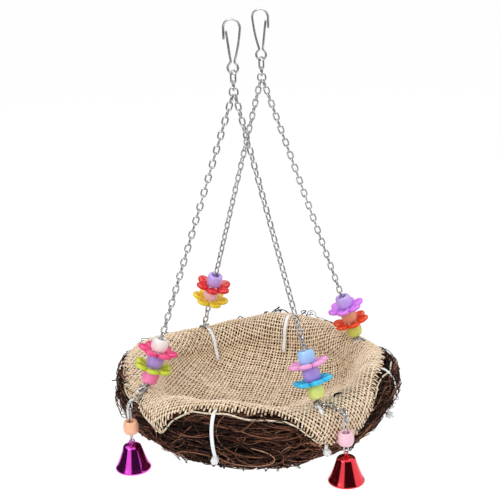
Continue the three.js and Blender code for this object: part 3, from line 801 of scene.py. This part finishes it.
def flowerPiece(node, place, spin):
    form = flowerForm
    petal = petalPattern(form)
    spots = [place.translation] * form["petals"]
    turns = [(place.to_3x3() @ Matrix.Rotation(spin + 2 * math.pi * k / form["petals"], 3, "Z")).to_euler()
             for k in range(form["petals"])]
    look = finishes[slotOf[node]]
    host = pointHost(pieceName(node), spots, turns)
    grow(host, repeatPattern, {"Pattern": petal, "Material": look})
    bpy.data.objects.remove(petal)
    points, faces = hubParts(form)
    hub = outward(meshObject("hub", moved(points, place), faces))
    hub.data.materials.append(look)
    built = bmesh.new()
    built.from_mesh(host.data)
    built.from_mesh(hub.data)
    built.to_mesh(host.data)
    built.free()
    bpy.data.objects.remove(hub)
    host.data.polygons.foreach_set("use_smooth", [True] * len(host.data.polygons))
    return finishPiece(host, node)


for corner in cornerTurns:
    nodes = sorted(node for node in frame["nodes"] if node.startswith(corner) and "_bell_" not in node)
    for index, node in enumerate(nodes):
        if "_flower_" in node:
            spin = math.radians(stackTurns[corner] + flowerForm["spin"] * index)
            flowerPiece(node, stackPlace(corner, node), spin)
        elif "_bead_" in node:
            points, faces = barrel(*beadForm["size"])
            piece(node, [(moved(points, stackPlace(corner, node)), faces)])
print("bead stacks: 19 pieces")

# bells
bellForm = {"hanger": (4.2, 26, 1.0), "bead": (10.6, 9, 5.2, 1.0), "beadDrop": 18.5, "crown": -27.35,
            "loop": (1.9, 1.0), "loopZ": -25.15, "staple": (1.7, 0.9), "stapleZ": -29.0, "pivot": 0.9,
            "sides": 56}
clapperForm = {"top": -29.5, "ring": (1.5, 0.9), "rod": (2.9, 6, 9), "wire": 0.9, "ball": 6, "length": 10.4,
               "rows": 15, "sides": 22}
bellOuter = [(0.05, 0.6), (2.6, 0.55), (4.6, 0.3), (5.6, -0.1), (6.15, -0.8), (6.6, -2.2), (7.4, -4.6),
             (8.45, -7.6), (9.5, -10.4), (10.5, -12.8), (11.25, -14.3), (11.85, -15.2), (12.2, -16.0),
             (12.15, -16.6), (11.85, -17.0)]
bellInner = [(11.2, -17.0), (10.9, -16.2), (10.2, -14.2), (9.4, -12.2), (8.5, -9.9), (7.5, -7.4), (6.5, -4.8),
             (5.8, -2.6), (5.2, -1.4), (3.6, -0.8), (0.05, -0.6)]


def strandPivot(corner):
    return Vector(jointOf[f"{corner}_strand_swing"]["pos_m"])


def ringParts(radius, thick, z, turn):
    across = 2 * radius + thick
    place = Matrix.Translation((0, 0, z * mm)) @ Matrix.Rotation(turn, 4, "Z")
    return wireLoop(across, across, thick, place, 9, 9)


def ballParts(form):
    radius, middle = form["ball"] / 2, form["top"] - form["length"]
    turns = np.linspace(-math.pi / 2, math.pi / 2, form["rows"])
    profile = [(max(0.02, math.cos(a)) * radius, middle + radius * math.sin(a)) for a in turns]
    return lathe(profile, form["sides"], closed=False)


def bellStrand(corner):
    form = bellForm
    turn = Matrix.Rotation(cornerTurns[corner] + math.pi / 2, 4, "Z")
    place = Matrix.Translation(strandPivot(corner) + Vector((0, 0, form["pivot"] * mm))) @ turn

    def put(node, parts):
        return piece(node, [(moved(part[0], place), *part[1:]) for part in parts])

    width, length, thick = form["hanger"]
    hang = Matrix.Translation((0, 0, -(length - thick) / 2 * mm))
    put(f"{corner}_bell_hanger", [wireLoop(width, length, thick, hang, sides=10)])
    points, faces = barrel(*form["bead"])
    put(f"{corner}_bell_bead", [(moved(points, Matrix.Translation((0, 0, -form["beadDrop"] * mm))), faces)])
    wall = lathe([(r, z + form["crown"]) for r, z in bellOuter + bellInner], form["sides"], closed=False)
    put(f"{corner}_bell", [wall, ringParts(*form["loop"], form["loopZ"], math.pi / 2),
                           ringParts(*form["staple"], form["stapleZ"], math.pi / 2)])
    clapper = clapperForm
    stops = [Vector((0, 0, clapper["top"] - drop)) * mm for drop in clapper["rod"]]
    rod = wire(stops, clapper["wire"] * mm, sides=9)
    eye = ringParts(*clapper["ring"], clapper["top"] - clapper["ring"][0], 0)
    put(f"{corner}_clapper", [eye, rod, ballParts(clapper)])


# the short chain from the ring over the rim to the bell's hanger
def dropContacts(corner):
    centre, rise, tangent = ringBasis(corner)
    turn = math.radians(ringForm["dropStart"])
    radius = ringForm["radius"] * mm
    start = centre - rise * radius * math.cos(turn) + tangent * radius * math.sin(turn)
    lift = (bellForm["pivot"] - (chainForm["grip"] + bellForm["hanger"][2]) / 2 - chainForm["linkFit"]) * mm
    foot = strandPivot(corner) + Vector((0, 0, lift))
    level = foot - start
    level.z = 0
    first = (level.normalized() + tangent).normalized()
    begin = start - first * ((ringForm["wire"] + chainForm["grip"]) / 2 + chainForm["linkFit"]) * mm
    second = begin + first * chainForm["pitch"] * mm
    high = foot + Vector((0, 0, chainForm["pitch"] * mm))
    spans = ringForm["dropLinks"] - 2
    wireWay = tangent * math.cos(turn) + rise * math.sin(turn)
    side = Matrix.Rotation(math.radians(ringForm["dropRoll"]), 3, first) @ first.cross(wireWay)
    return [begin] + [second.lerp(high, i / spans) for i in range(spans + 1)] + [foot], side


bellCorners = ("front_left", "front_right")
for corner in bellCorners:
    bellStrand(corner)
    contacts, side = dropContacts(corner)
    chainPiece(f"{corner}_drop_chain", contacts, side, polar(cornerTurns[corner], 1, 0))
print("bells: 10 pieces")

# nest
# the cloth's outline: angles in degrees, with distances along the wall from the middle of the bowl
clothForm = {"half": 110, "pitch": 2.45, "thread": 0.6, "flat": 0.92, "sides": 6, "seed": 5, "lift": 1.5,
             "fold": 2.4, "folds": 8, "flap": 0.6, "flare": 1.2, "crease": 1.5, "creases": 11, "crimp": 0.42,
             "creaseSway": 2.2, "creaseDrift": 0.03, "pressed": 0.7, "fray": 2.4, "loose": (-1.4, 1.6),
             "ends": (-9, 1.2), "jitter": 0.22, "wander": 0.18, "uneven": 0.18,
             # tones: each thread's random tone; depth: how far the tone is raised as painted light where a
             # thread passes over and lowered as painted shade where it passes under
             "tones": (0.32, 0.72), "depth": 0.6, "past": 8.4, "least": 6,
             "outline": [(0, 106), (16, 105), (32, 110), (45, 117), (60, 112), (90, 108), (118, 110),
                         (135, 119), (152, 112), (171, 110), (184, 113), (203, 110), (217, 112), (232, 113),
                         (241, 120), (247, 126), (253, 115), (261, 110), (272, 109), (285, 108), (295, 107),
                         (302, 114), (310, 127), (322, 131), (331, 125), (339, 116), (348, 109)]}


# how far the cloth reaches along the wall at an angle, from the middle of the bowl
def clothReach(form, angle):
    turns, ways = np.array(form["outline"]).T
    return np.interp(np.degrees(angle) % 360, np.append(turns, 360), np.append(ways, ways[0]))


# how deep the wall lies between two bundles of twigs, 0 on a bundle and 1 between
def bundleGap(angle, distance):
    step = (flankEnd - crestEnd) / (2 * nestForm["courses"])
    course = np.clip((distance - crestEnd) / step, 0, 2 * nestForm["courses"])
    swing = np.cos(math.pi * course) * np.tanh(4 * np.sin(4 * angle))
    return np.where(course < 0.5, 0, 0.5 - 0.5 * swing) * (distance < flankEnd)


bellTurns = [math.atan2(y, x) for x, y, _ in map(strandPivot, bellCorners)]
wallForm = {"hem": 2, "strap": 8, "strapEnd": 44, "bell": 5, "low": -0.5, "room": 0.8}


# points on the wall for twigs, which stay under the cloth and the straps and leave the bells room to swing
def onWall(angle, distance, lift):
    form = wallForm
    angle, distance, lift = sameShape(angle, distance, lift)
    outside = np.clip((distance - clothReach(clothForm, angle)) / form["hem"], 0, 1)
    beside = np.clip(np.abs(np.sin(4 * angle)) * nestForm["radius"] / form["strap"] - 1, 0, 1)
    away = np.min([np.abs(np.sin((angle - turn) / 2)) for turn in bellTurns], axis=0)
    clear = np.clip(away * nestForm["radius"] / form["bell"] - 1, 0, 1)
    free = outside * clear * np.maximum(beside, distance > crestTop + form["strapEnd"])
    most = form["room"] * clear + form["low"]
    return onNest(angle, distance, np.where(lift > most, most + (lift - most) * free, lift))


coreForm = {"sink": 2.4, "rows": 90, "sides": 128, "rough": 1.0, "lumps": 160}


# the core is coloured near-black as painted shade seen through the gaps
def nestCore(form):
    distances = np.linspace(0.5, reach[-1] - 0.5, form["rows"])
    angles = np.linspace(0, 2 * math.pi, form["sides"], endpoint=False)
    sunk = form["sink"] + nestForm["course"] * bundleGap(angles[None, :], distances[:, None])
    points = vectors(onNest(angles[None, :], distances[:, None], -sunk))
    points = [p + p.normalized() * noise.noise(p * form["lumps"]) * form["rough"] * mm for p in points]
    faces = rowFaces(form["rows"], form["sides"]) + endFaces(form["rows"], form["sides"])
    finishPiece(outward(meshObject("nestCore", points, faces)), "nest_bowl", paintedShadeTwigs)


nestCore(coreForm)

# kinds of twig: how many, where on the wall, how they run and stand off it, and how dark they are, at random
# within a range whose low end for the deep kinds is painted shade
twigForm = {
    "seed": 11, "step": 3.6, "thin": 0.28, "thick": 0.58, "taper": 0.4, "pieces": 6, "sides": 5,
    # the wound twigs lie lowest, under the others, and their dark tones are painted shade; the crossed twigs
    # and curls over them are lighter
    "wound": {"count": 620, "band": (crestTop - 2, flankEnd + 6), "arc": (0.5, 2.3), "lifts": (-2.6, -0.3),
              "slope": 18, "sway": (0.4, 2.4), "tones": (0, 0.4)},
    "crossed": {"count": 520, "band": (crestTop + 3, flankEnd + 4), "arc": (0.35, 1.5), "lifts": (-1.2, 1.3),
                "slope": 46, "sway": (1.5, 6), "tones": (0.1, 0.85)},
    "curls": {"count": 430, "band": (crestEnd - 2, flankEnd + 2), "size": (6, 24), "turns": (0.35, 1.15),
              "stand": (1, 3.4), "wall": 92, "tones": (0.3, 1)},
    "under": {"count": 260, "bow": 12, "lifts": (0.2, 2.6), "tones": (0.1, 0.9)},
    "rim": {"count": 170, "band": (crestTop - 6, crestEnd + 4), "arc": (0.6, 2.0), "lifts": (-2.0, 0.3),
            "slope": 8, "sway": (0.3, 1.5), "tones": (0, 0.8)},
    "strays": {"count": 60, "band": (crestTop + 2, flankEnd - 10), "way": 0.16, "stand": (3, 8),
               "drop": (-12, 9), "tones": (0, 0.7)},
    "fluff": {"count": 170, "turns": (0, 360), "tones": (0, 0.8)},
    "fluffLeft": {"count": 130, "turns": (135, 205), "tones": (0, 0.8)},
    "fluffRight": {"count": 130, "turns": (310, 390), "tones": (0, 0.8)},
    "loops": {"count": 150, "band": (crestEnd + 22, flankEnd), "arc": (0.08, 0.24), "size": (2, 11),
              "stand": (2.5, 5.5), "tones": (0, 0.6)},
    "back": {"count": 12, "turns": (78, 110), "band": (109, 114), "stand": (4, 9), "tones": (0, 0.3)},
    "tip": {"angles": [326, 326.8, 327.7, 328.6], "distances": [99.5, 101, 102.3, 103.6],
            "lifts": [2, 4.2, 4.6, 4.6], "count": 1, "radius": 0.85, "tones": (0, 0.1)}}


def wave(rng, t, low, high):
    return np.sin(t * rng.uniform(low, high) + rng.uniform(0, 6))


# one twig wound along the wall, with some ends standing off it
def twigLine(rng, kind):
    arc = rng.uniform(*kind["arc"])
    middle = rng.uniform(*kind["band"])
    start = rng.uniform(0, 2 * math.pi)
    radius = max(30, np.interp(middle, reach, section[:, 0]))
    t = np.linspace(0, 1, max(8, int(radius * arc / twigForm["step"])))
    drift = rng.uniform(-kind["slope"], kind["slope"])
    wander = rng.uniform(*kind["sway"]) * wave(rng, t * arc, 2, 7)
    wander += 0.25 * rng.uniform(*kind["sway"]) * wave(rng, t * arc, 9, 20)
    distance = np.clip(middle + drift * (t - 0.5) + wander, crestTop - 12, reach[-1] - 1)
    angle = start + arc * t
    lift = rng.uniform(*kind["lifts"]) - 0.8 * nestForm["course"] * bundleGap(angle, distance)
    lift = lift + rng.uniform(0.1, 0.7) * wave(rng, t * arc, 4, 12)
    if rng.random() < 0.3:
        lift = lift + rng.uniform(0.5, 4) * np.clip((t - 0.88) / 0.12, 0, 1) ** 2
    return onWall(angle, distance, lift)


def curlLine(rng, kind):
    angle, distance = rng.uniform(0, 6.284), rng.uniform(*kind["band"])
    radius, turns, stand = (rng.uniform(*kind[key]) for key in ("size", "turns", "stand"))
    t = np.linspace(0, 1, 30)
    a = rng.uniform(0, 6.28) + t * turns * 2 * math.pi
    size = radius * (1 + 0.25 * np.sin(3 * t + rng.uniform(0, 6)))
    flat = rng.uniform(0.5, 0.9)
    spin = angle + size * np.cos(a) / kind["wall"] + rng.uniform(-0.15, 0.15) * t
    return onWall(spin, distance + flat * size * np.sin(a), -0.8 + stand * np.sin(math.pi * t) ** 0.8)


# twigs across the flat base
def underLine(rng, kind):
    base = nestForm["base"]
    angle, offset = rng.uniform(0, math.pi), rng.uniform(-0.9, 0.9) * base
    half = math.sqrt(max(60, (base + 12) ** 2 - offset ** 2))
    t = np.linspace(-1, 1, 26)
    bow = rng.uniform(-kind["bow"], kind["bow"]) * (1 - t ** 2)
    bow = bow + rng.uniform(0.3, 2.2) * np.sin(t * rng.uniform(4, 14))
    x = half * t * math.cos(angle) - (offset + bow) * math.sin(angle)
    y = half * t * math.sin(angle) + (offset + bow) * math.cos(angle)
    out = np.maximum(0, np.hypot(x, y) - base)
    z = baseZ + out ** 2 * 0.03 + rng.uniform(*kind["lifts"]) + 0.5 * np.sin(t * rng.uniform(4, 12))
    return np.stack([x, y, z], -1) * mm


# short ends that stand out of the wall and the rim
def strayLine(rng, kind):
    angle, distance = rng.uniform(0, 2 * math.pi), rng.uniform(*kind["band"])
    t = np.linspace(0, 1, 12)
    way = rng.uniform(-kind["way"], kind["way"])
    stand, drop = rng.uniform(*kind["stand"]), rng.uniform(*kind["drop"])
    return onWall(angle + way * t, np.maximum(crestTop + 1, distance + drop * t), -1.5 + stand * t ** 1.6)


# loose twigs round the rim
def fluffLine(rng, kind):
    angle, arc = math.radians(rng.uniform(*kind["turns"])), rng.uniform(0.12, 0.5)
    t = np.linspace(0, 1, 14)
    distance = crestTop + rng.uniform(7, 26) + rng.uniform(-7, 7) * t
    distance = distance + rng.uniform(1, 3) * np.sin(t * rng.uniform(3, 9))
    stand = rng.uniform(1.5, 6) * np.sin(math.pi * np.clip(t * rng.uniform(0.6, 1.1), 0, 1))
    return onWall(angle + arc * t, np.maximum(crestTop + 4, distance), stand - 0.6)


# small loops that stand off the lower wall
def loopLine(rng, kind):
    t = np.linspace(0, 1, 18)
    arc = rng.uniform(*kind["arc"]) * rng.choice((-1, 1))
    angle = rng.uniform(0, 2 * math.pi) + arc * (t + 0.25 * np.sin(2 * math.pi * t))
    distance = rng.uniform(*kind["band"]) + rng.uniform(*kind["size"]) * np.sin(math.pi * t)
    return onWall(angle, distance, -1 + rng.uniform(*kind["stand"]) * np.sin(math.pi * t) ** 0.6)


# curled ends behind the back rim
def backLine(rng, kind):
    t = np.linspace(0, 1, 14)
    angle = math.radians(rng.uniform(*kind["turns"])) + rng.uniform(-0.14, 0.14) * t
    angle = angle + 0.02 * np.sin(t * rng.uniform(3, 9))
    distance = rng.uniform(*kind["band"]) - rng.uniform(0, 5) * t
    return onNest(angle, distance, -1 + rng.uniform(*kind["stand"]) * np.sin(2.4 * t))


# one twig end that comes through the cloth
def tipLine(rng, kind):
    return onNest(np.radians(kind["angles"]), kind["distances"], kind["lifts"])


twigLines = {"wound": twigLine, "crossed": twigLine, "curls": curlLine, "under": underLine, "rim": twigLine,
             "strays": strayLine, "fluff": fluffLine, "fluffLeft": fluffLine, "fluffRight": fluffLine,
             "loops": loopLine, "back": backLine, "tip": tipLine}


def nestTwigs(form):
    rng = random.Random(form["seed"])
    strands = []
    for name, makeLine in twigLines.items():
        kind = form[name]
        for _ in range(kind["count"]):
            line = makeLine(rng, kind)
            size = (kind.get("radius") or rng.uniform(form["thin"], form["thick"])) * mm
            t = np.linspace(0, 1, len(line))
            sizes = size * (1 - form["taper"] * t) * (1 + 0.1 * np.sin(t * rng.uniform(8, 30)))
            # each twig's tone is random within its kind's range, which for the low kinds holds painted shade
            strands.append((line, sizes, rng.uniform(*kind["tones"]), line - [0, 0, -0.4]))
    rng.shuffle(strands)
    share = math.ceil(len(strands) / form["pieces"])
    for k in range(form["pieces"]):
        host = strandHost(f"nestTwigs{k + 1}", strands[k * share:(k + 1) * share])
        grow(host, roundStrands, {"Sides": form["sides"], "Flat": (1, 1, 1), "Material": finishes["twigs"]})
        finishPiece(host, "nest_bowl")
    return len(strands)


print("twigs:", nestTwigs(twigForm))


# burlap over the nest, from flat coordinates in millimetres
def onCloth(form, u, v, lift):
    u, v = np.broadcast_arrays(np.asarray(u, float), np.asarray(v, float))
    distance, angle = np.hypot(u, v), np.arctan2(v, u)
    past = np.maximum(0, distance - crestTop) / (form["half"] * 2 ** 0.25 - crestTop)
    corner = np.maximum(0, -np.cos(4 * angle))
    share = np.clip(distance / crestStart, 0, 1)
    fold = form["fold"] * np.sin(math.pi * share) ** 2 * (0.5 - 0.5 * np.cos(form["folds"] * angle))
    sway = form["creaseSway"] * np.sin(3 * angle) + form["creaseDrift"] * distance
    ripple = 0.5 + 0.5 * np.sin(form["creases"] * angle + sway)
    crease = form["crease"] * share ** 2 * ripple * (1 - form["pressed"] * np.clip(past * 5, 0, 1))
    flap = form["flap"] * np.clip((distance - crestTop) / nestForm["crest"], 0, 1)
    rise = form["lift"] + fold + crease + flap + form["flare"] * corner * past ** 2
    return onNest(angle, distance, rise + lift)


def threads(form, along, rng):
    half, pitch, past = form["half"], form["pitch"], form["past"]
    strands = []
    for i in range(int(2 * half / pitch)):
        fixed = -half + (i + 0.5) * pitch + rng.uniform(-form["jitter"], form["jitter"])
        run = np.arange(-half - past, half + past + 0.1, pitch / 2)
        cross = np.round((run + half) / pitch * 2).astype(int)
        line = fixed + form["wander"] * wave(rng, run, 0.05, 0.2)
        u, v = (line, run) if along == 0 else (run, line)
        room = clothReach(form, np.arctan2(v, u)) - np.hypot(u, v)
        loose = [rng.uniform(*form["loose"]) for _ in range(2)]
        inside = room > np.where(run < 0, loose[0], loose[1]) - form["fray"] * (np.abs(run) > np.abs(line))
        inside &= room > np.where(np.abs(run) > np.abs(line), *form["ends"])
        if inside.sum() < form["least"]:
            continue
        over = np.where(cross % 2 == 1, np.where((cross // 2 + i) % 2 == 0, 1.0, -1.0), 0.0)
        over = over * form["crimp"] * (1 if along == 0 else -1)
        sizes = form["thread"] * mm * (1 + form["uneven"] * wave(rng, run, 0.2, 0.9))
        keep = np.flatnonzero(inside)
        part = slice(keep[0], keep[-1] + 1)
        above = onCloth(form, u, v, 2) - onCloth(form, u, v, 0)
        tone = rng.uniform(*form["tones"]) + form["depth"] * over / form["crimp"]  # random tone, with painted light where the thread passes over and painted shade where it passes under
        strands.append((onCloth(form, u, v, over)[part], sizes[part], tone[part], above[part]))
    return strands


def burlap(form):
    rng = random.Random(form["seed"])
    for along, name in ((0, "burlapWarp"), (1, "burlapWeft")):
        host = strandHost(name, threads(form, along, rng))
        flat = (form["flat"], 1, 1)
        grow(host, roundStrands, {"Sides": form["sides"], "Flat": flat, "Material": finishes["burlap"]})
        finishPiece(host, "burlap_liner")
    angles = np.linspace(0, 2 * math.pi, 720, endpoint=False)
    area = float(np.mean(clothReach(form, angles) ** 2) * math.pi) * mm * mm
    return area


print("burlap: 2 pieces,", round(burlap(clothForm) * 1e6), "square mm")

# string and cable ties
stringForm = {"diameter": 1.2, "inset": 2.6, "off": 1.4, "count": 260, "sides": 8,
              "slack": [(0.8, 9, 0), (0.5, 23, 1)]}
tieForm = {"width": 2.5, "thickness": 1.0, "edge": 0.3, "inner": 30, "outer": 38, "head": (4.4, 4.0, 4.0),
           "headEdge": 0.7, "headSizes": [0.86, 1, 1, 0.86], "tail": (0.9, 1.2, 1.4), "tailWidth": 0.9,
           "headStops": (0, 0.08, 0.92, 1), "through": (0.25, 0.5, 0.75), "seat": 19, "ringRoom": 3.5,
           "hem": 4, "cover": 5, "steps": 22, "under": 0.2, "over": ["back", "back_left"],
           "lifts": [3.4, 3.2, 2.4, 0.5, 0.4, 1.5, 2.4], "seatLifts": [3.4, 2.8, 3.4, 0.7, 0.4, 1.5, 2.4]}
cornerTie = {"outer": 33, "shift": -1.3}
sideTurns = {"front": 1.5 * math.pi, "right": 0, "back": 0.5 * math.pi, "left": math.pi}


def lashing(form):
    angles = np.linspace(0, 2 * math.pi, form["count"], endpoint=False)
    edge = np.maximum(clothReach(clothForm, angles), crestTop + nestForm["crest"] / 2)
    slack = sum(size * np.sin(angles * count + turn) for size, count, turn in form["slack"])
    line = vectors(onNest(angles, edge + form["inset"] + slack, form["off"]))
    return piece("lashing_string", [wire(line, form["diameter"] * mm, True, form["sides"])])


# a strap round the rim and through the wall, with its head on the outside; corner straps hold a ring
def tieParts(place, angle, outer, shift):
    form = tieForm
    stops = np.linspace(crestStart, crestTop + outer, form["steps"])
    stops = np.concatenate([[crestTop - form["inner"]], stops])
    edge = float(clothReach(clothForm, angle))
    seat = crestTop + nestForm["crest"] * math.radians(form["seat"])
    top = [seat, seat + form["ringRoom"]] if shift else [crestTop - 1, crestTop + 1]
    keys = [crestTop - form["inner"], crestTop - form["hem"], *top, edge, edge + form["hem"], stops[-1]]
    lifts = np.interp(stops, keys, form["seatLifts"] if shift else form["lifts"])
    if place not in form["over"]:  # the other straps run under the cloth in the bowl
        lifts = np.where(stops < crestTop - form["cover"], form["under"], lifts)
    tangent = polar(angle + math.pi / 2, 1, 0)
    points = [p + tangent * shift * mm for p in vectors(onNest(angle, stops, lifts))]
    through = [points[-1].lerp(points[0], t) for t in form["through"]]
    width, thickness, bevel = (form[key] * mm for key in ("width", "thickness", "edge"))
    strap = sweep(smoothLine(points, 2) + through, strapSection(width, thickness, bevel), True, tangent)
    way = (points[-1] - points[0]).normalized()
    wide, high, deep = (v * mm for v in form["head"])
    head = [points[-1] + way * deep * t for t in form["headStops"]]
    around = strapSection(wide, high, form["headEdge"] * mm)
    block = sweep(head, around, normal=tangent, sizes=form["headSizes"])
    tail = [points[-1] + way * deep * t for t in form["tail"]]
    end = sweep(tail, strapSection(width * form["tailWidth"], thickness, bevel), normal=tangent)
    return [strap, block, end]


lashing(stringForm)
for side, angle in sideTurns.items():
    piece(f"{side}_side_tie", tieParts(side, angle, tieForm["outer"], 0))
for corner, angle in cornerTurns.items():
    piece(f"{corner}_corner_tie", tieParts(corner, angle, cornerTie["outer"], cornerTie["shift"]))
print("string and ties: 9 pieces")

# stage
stageForm = {"floorZ": -0.45, "size": 12, "ambient": 0.62, "shadow": 0.2, "floorGlow": 1.09, "aimZ": -0.2}
# dark cards round the part, seen only in the metal: the way and width of each in degrees
cardForm = {"ways": [(308, 70), (90, 70), (162, 70), (216, 38)], "radius": 1.1, "heights": (-0.9, 0.55),
            "parts": 8}
lampForm = {"key": ((-0.7, -1.1, 0.75), 0.7, 9.0), "fill": ((1.1, -0.9, 0.25), 0.9, 5.0),
            "top": ((0.1, 0.5, 1.2), 0.9, 7.0)}  # place, size and power


# 1 for rays from the camera, also by way of shiny and clear things
def backdrop(graph):
    seen = [graph.node("ShaderNodeLightPath", output=f"Is {ray} Ray")
            for ray in ("Camera", "Glossy", "Transmission")]
    either = seen[0].maths("MAXIMUM", seen[0], seen[1])
    return either.maths("MAXIMUM", either, seen[2])


def makeWorld(form):
    world = bpy.data.worlds.new("studio")
    world.use_nodes = True
    scene.world = world
    f = Graph(world.node_tree)
    ambient, white = (f.node("ShaderNodeBackground", None, {"Color": (1, 1, 1, 1), "Strength": strength})
                      for strength in (form["ambient"], 1.0))
    mixed = f.node("ShaderNodeMixShader", None, [backdrop(f), ambient, white])
    f.node("ShaderNodeOutputWorld", None, [mixed])


def makeFloor(form):
    half = form["size"] / 2
    square = ((-half, -half), (half, -half), (half, half), (-half, half))
    corners = [(x, y, form["floorZ"]) for x, y in square]
    floor = meshObject("floor", corners, [(0, 1, 2, 3)])
    f = Finish("floor")
    plain = f.node("ShaderNodeBsdfDiffuse", None, {"Color": (0.93, 0.93, 0.93, 1)})
    bright = f.node("ShaderNodeEmission", None, {"Color": (1, 1, 1, 1), "Strength": form["floorGlow"]})
    seen = backdrop(f) * (1 - form["shadow"])
    mixed = f.node("ShaderNodeMixShader", None, [seen, plain, bright])
    f.node("ShaderNodeOutputMaterial", None, [mixed])
    floor.data.materials.append(f.material)


def makeCards(form):
    f = Finish("dark card")
    tone = f.mixed(f.grain(3, 1), (0.012, 0.012, 0.014, 1), (0.03, 0.03, 0.032, 1))
    dark = f.surface(Base_Color=tone, Roughness=0.9)
    parts = form["parts"]
    for index, (way, width) in enumerate(form["ways"]):
        turns = [math.radians(way + width * (k / parts - 0.5)) for k in range(parts + 1)]
        points = [polar(turn, form["radius"], z) for z in form["heights"] for turn in turns]
        faces = [(k, k + 1, parts + k + 2, parts + k + 1) for k in range(parts)]
        card = meshObject(f"darkCard{index + 1}", points, faces)
        card.data.materials.append(dark)
        card.visible_camera = card.visible_diffuse = card.visible_shadow = False


def makeLamps(form, aimZ):
    for name, (spot, size, power) in form.items():
        lamp = bpy.data.lights.new(name, "AREA")
        lamp.shape = "DISK"
        lamp.size = size
        lamp.energy = power
        thing = linked(name, lamp)
        aim = Vector((0, 0, aimZ)) - Vector(spot)
        thing.matrix_world = Matrix.Translation(spot) @ aim.to_track_quat("-Z", "Y").to_matrix().to_4x4()
        thing.visible_glossy = name != "fill"


makeWorld(stageForm)
makeFloor(stageForm)
makeCards(cardForm)
makeLamps(lampForm, stageForm["aimZ"])
print("stage: floor,", len(cardForm["ways"]), "cards and", len(lampForm), "lamps")
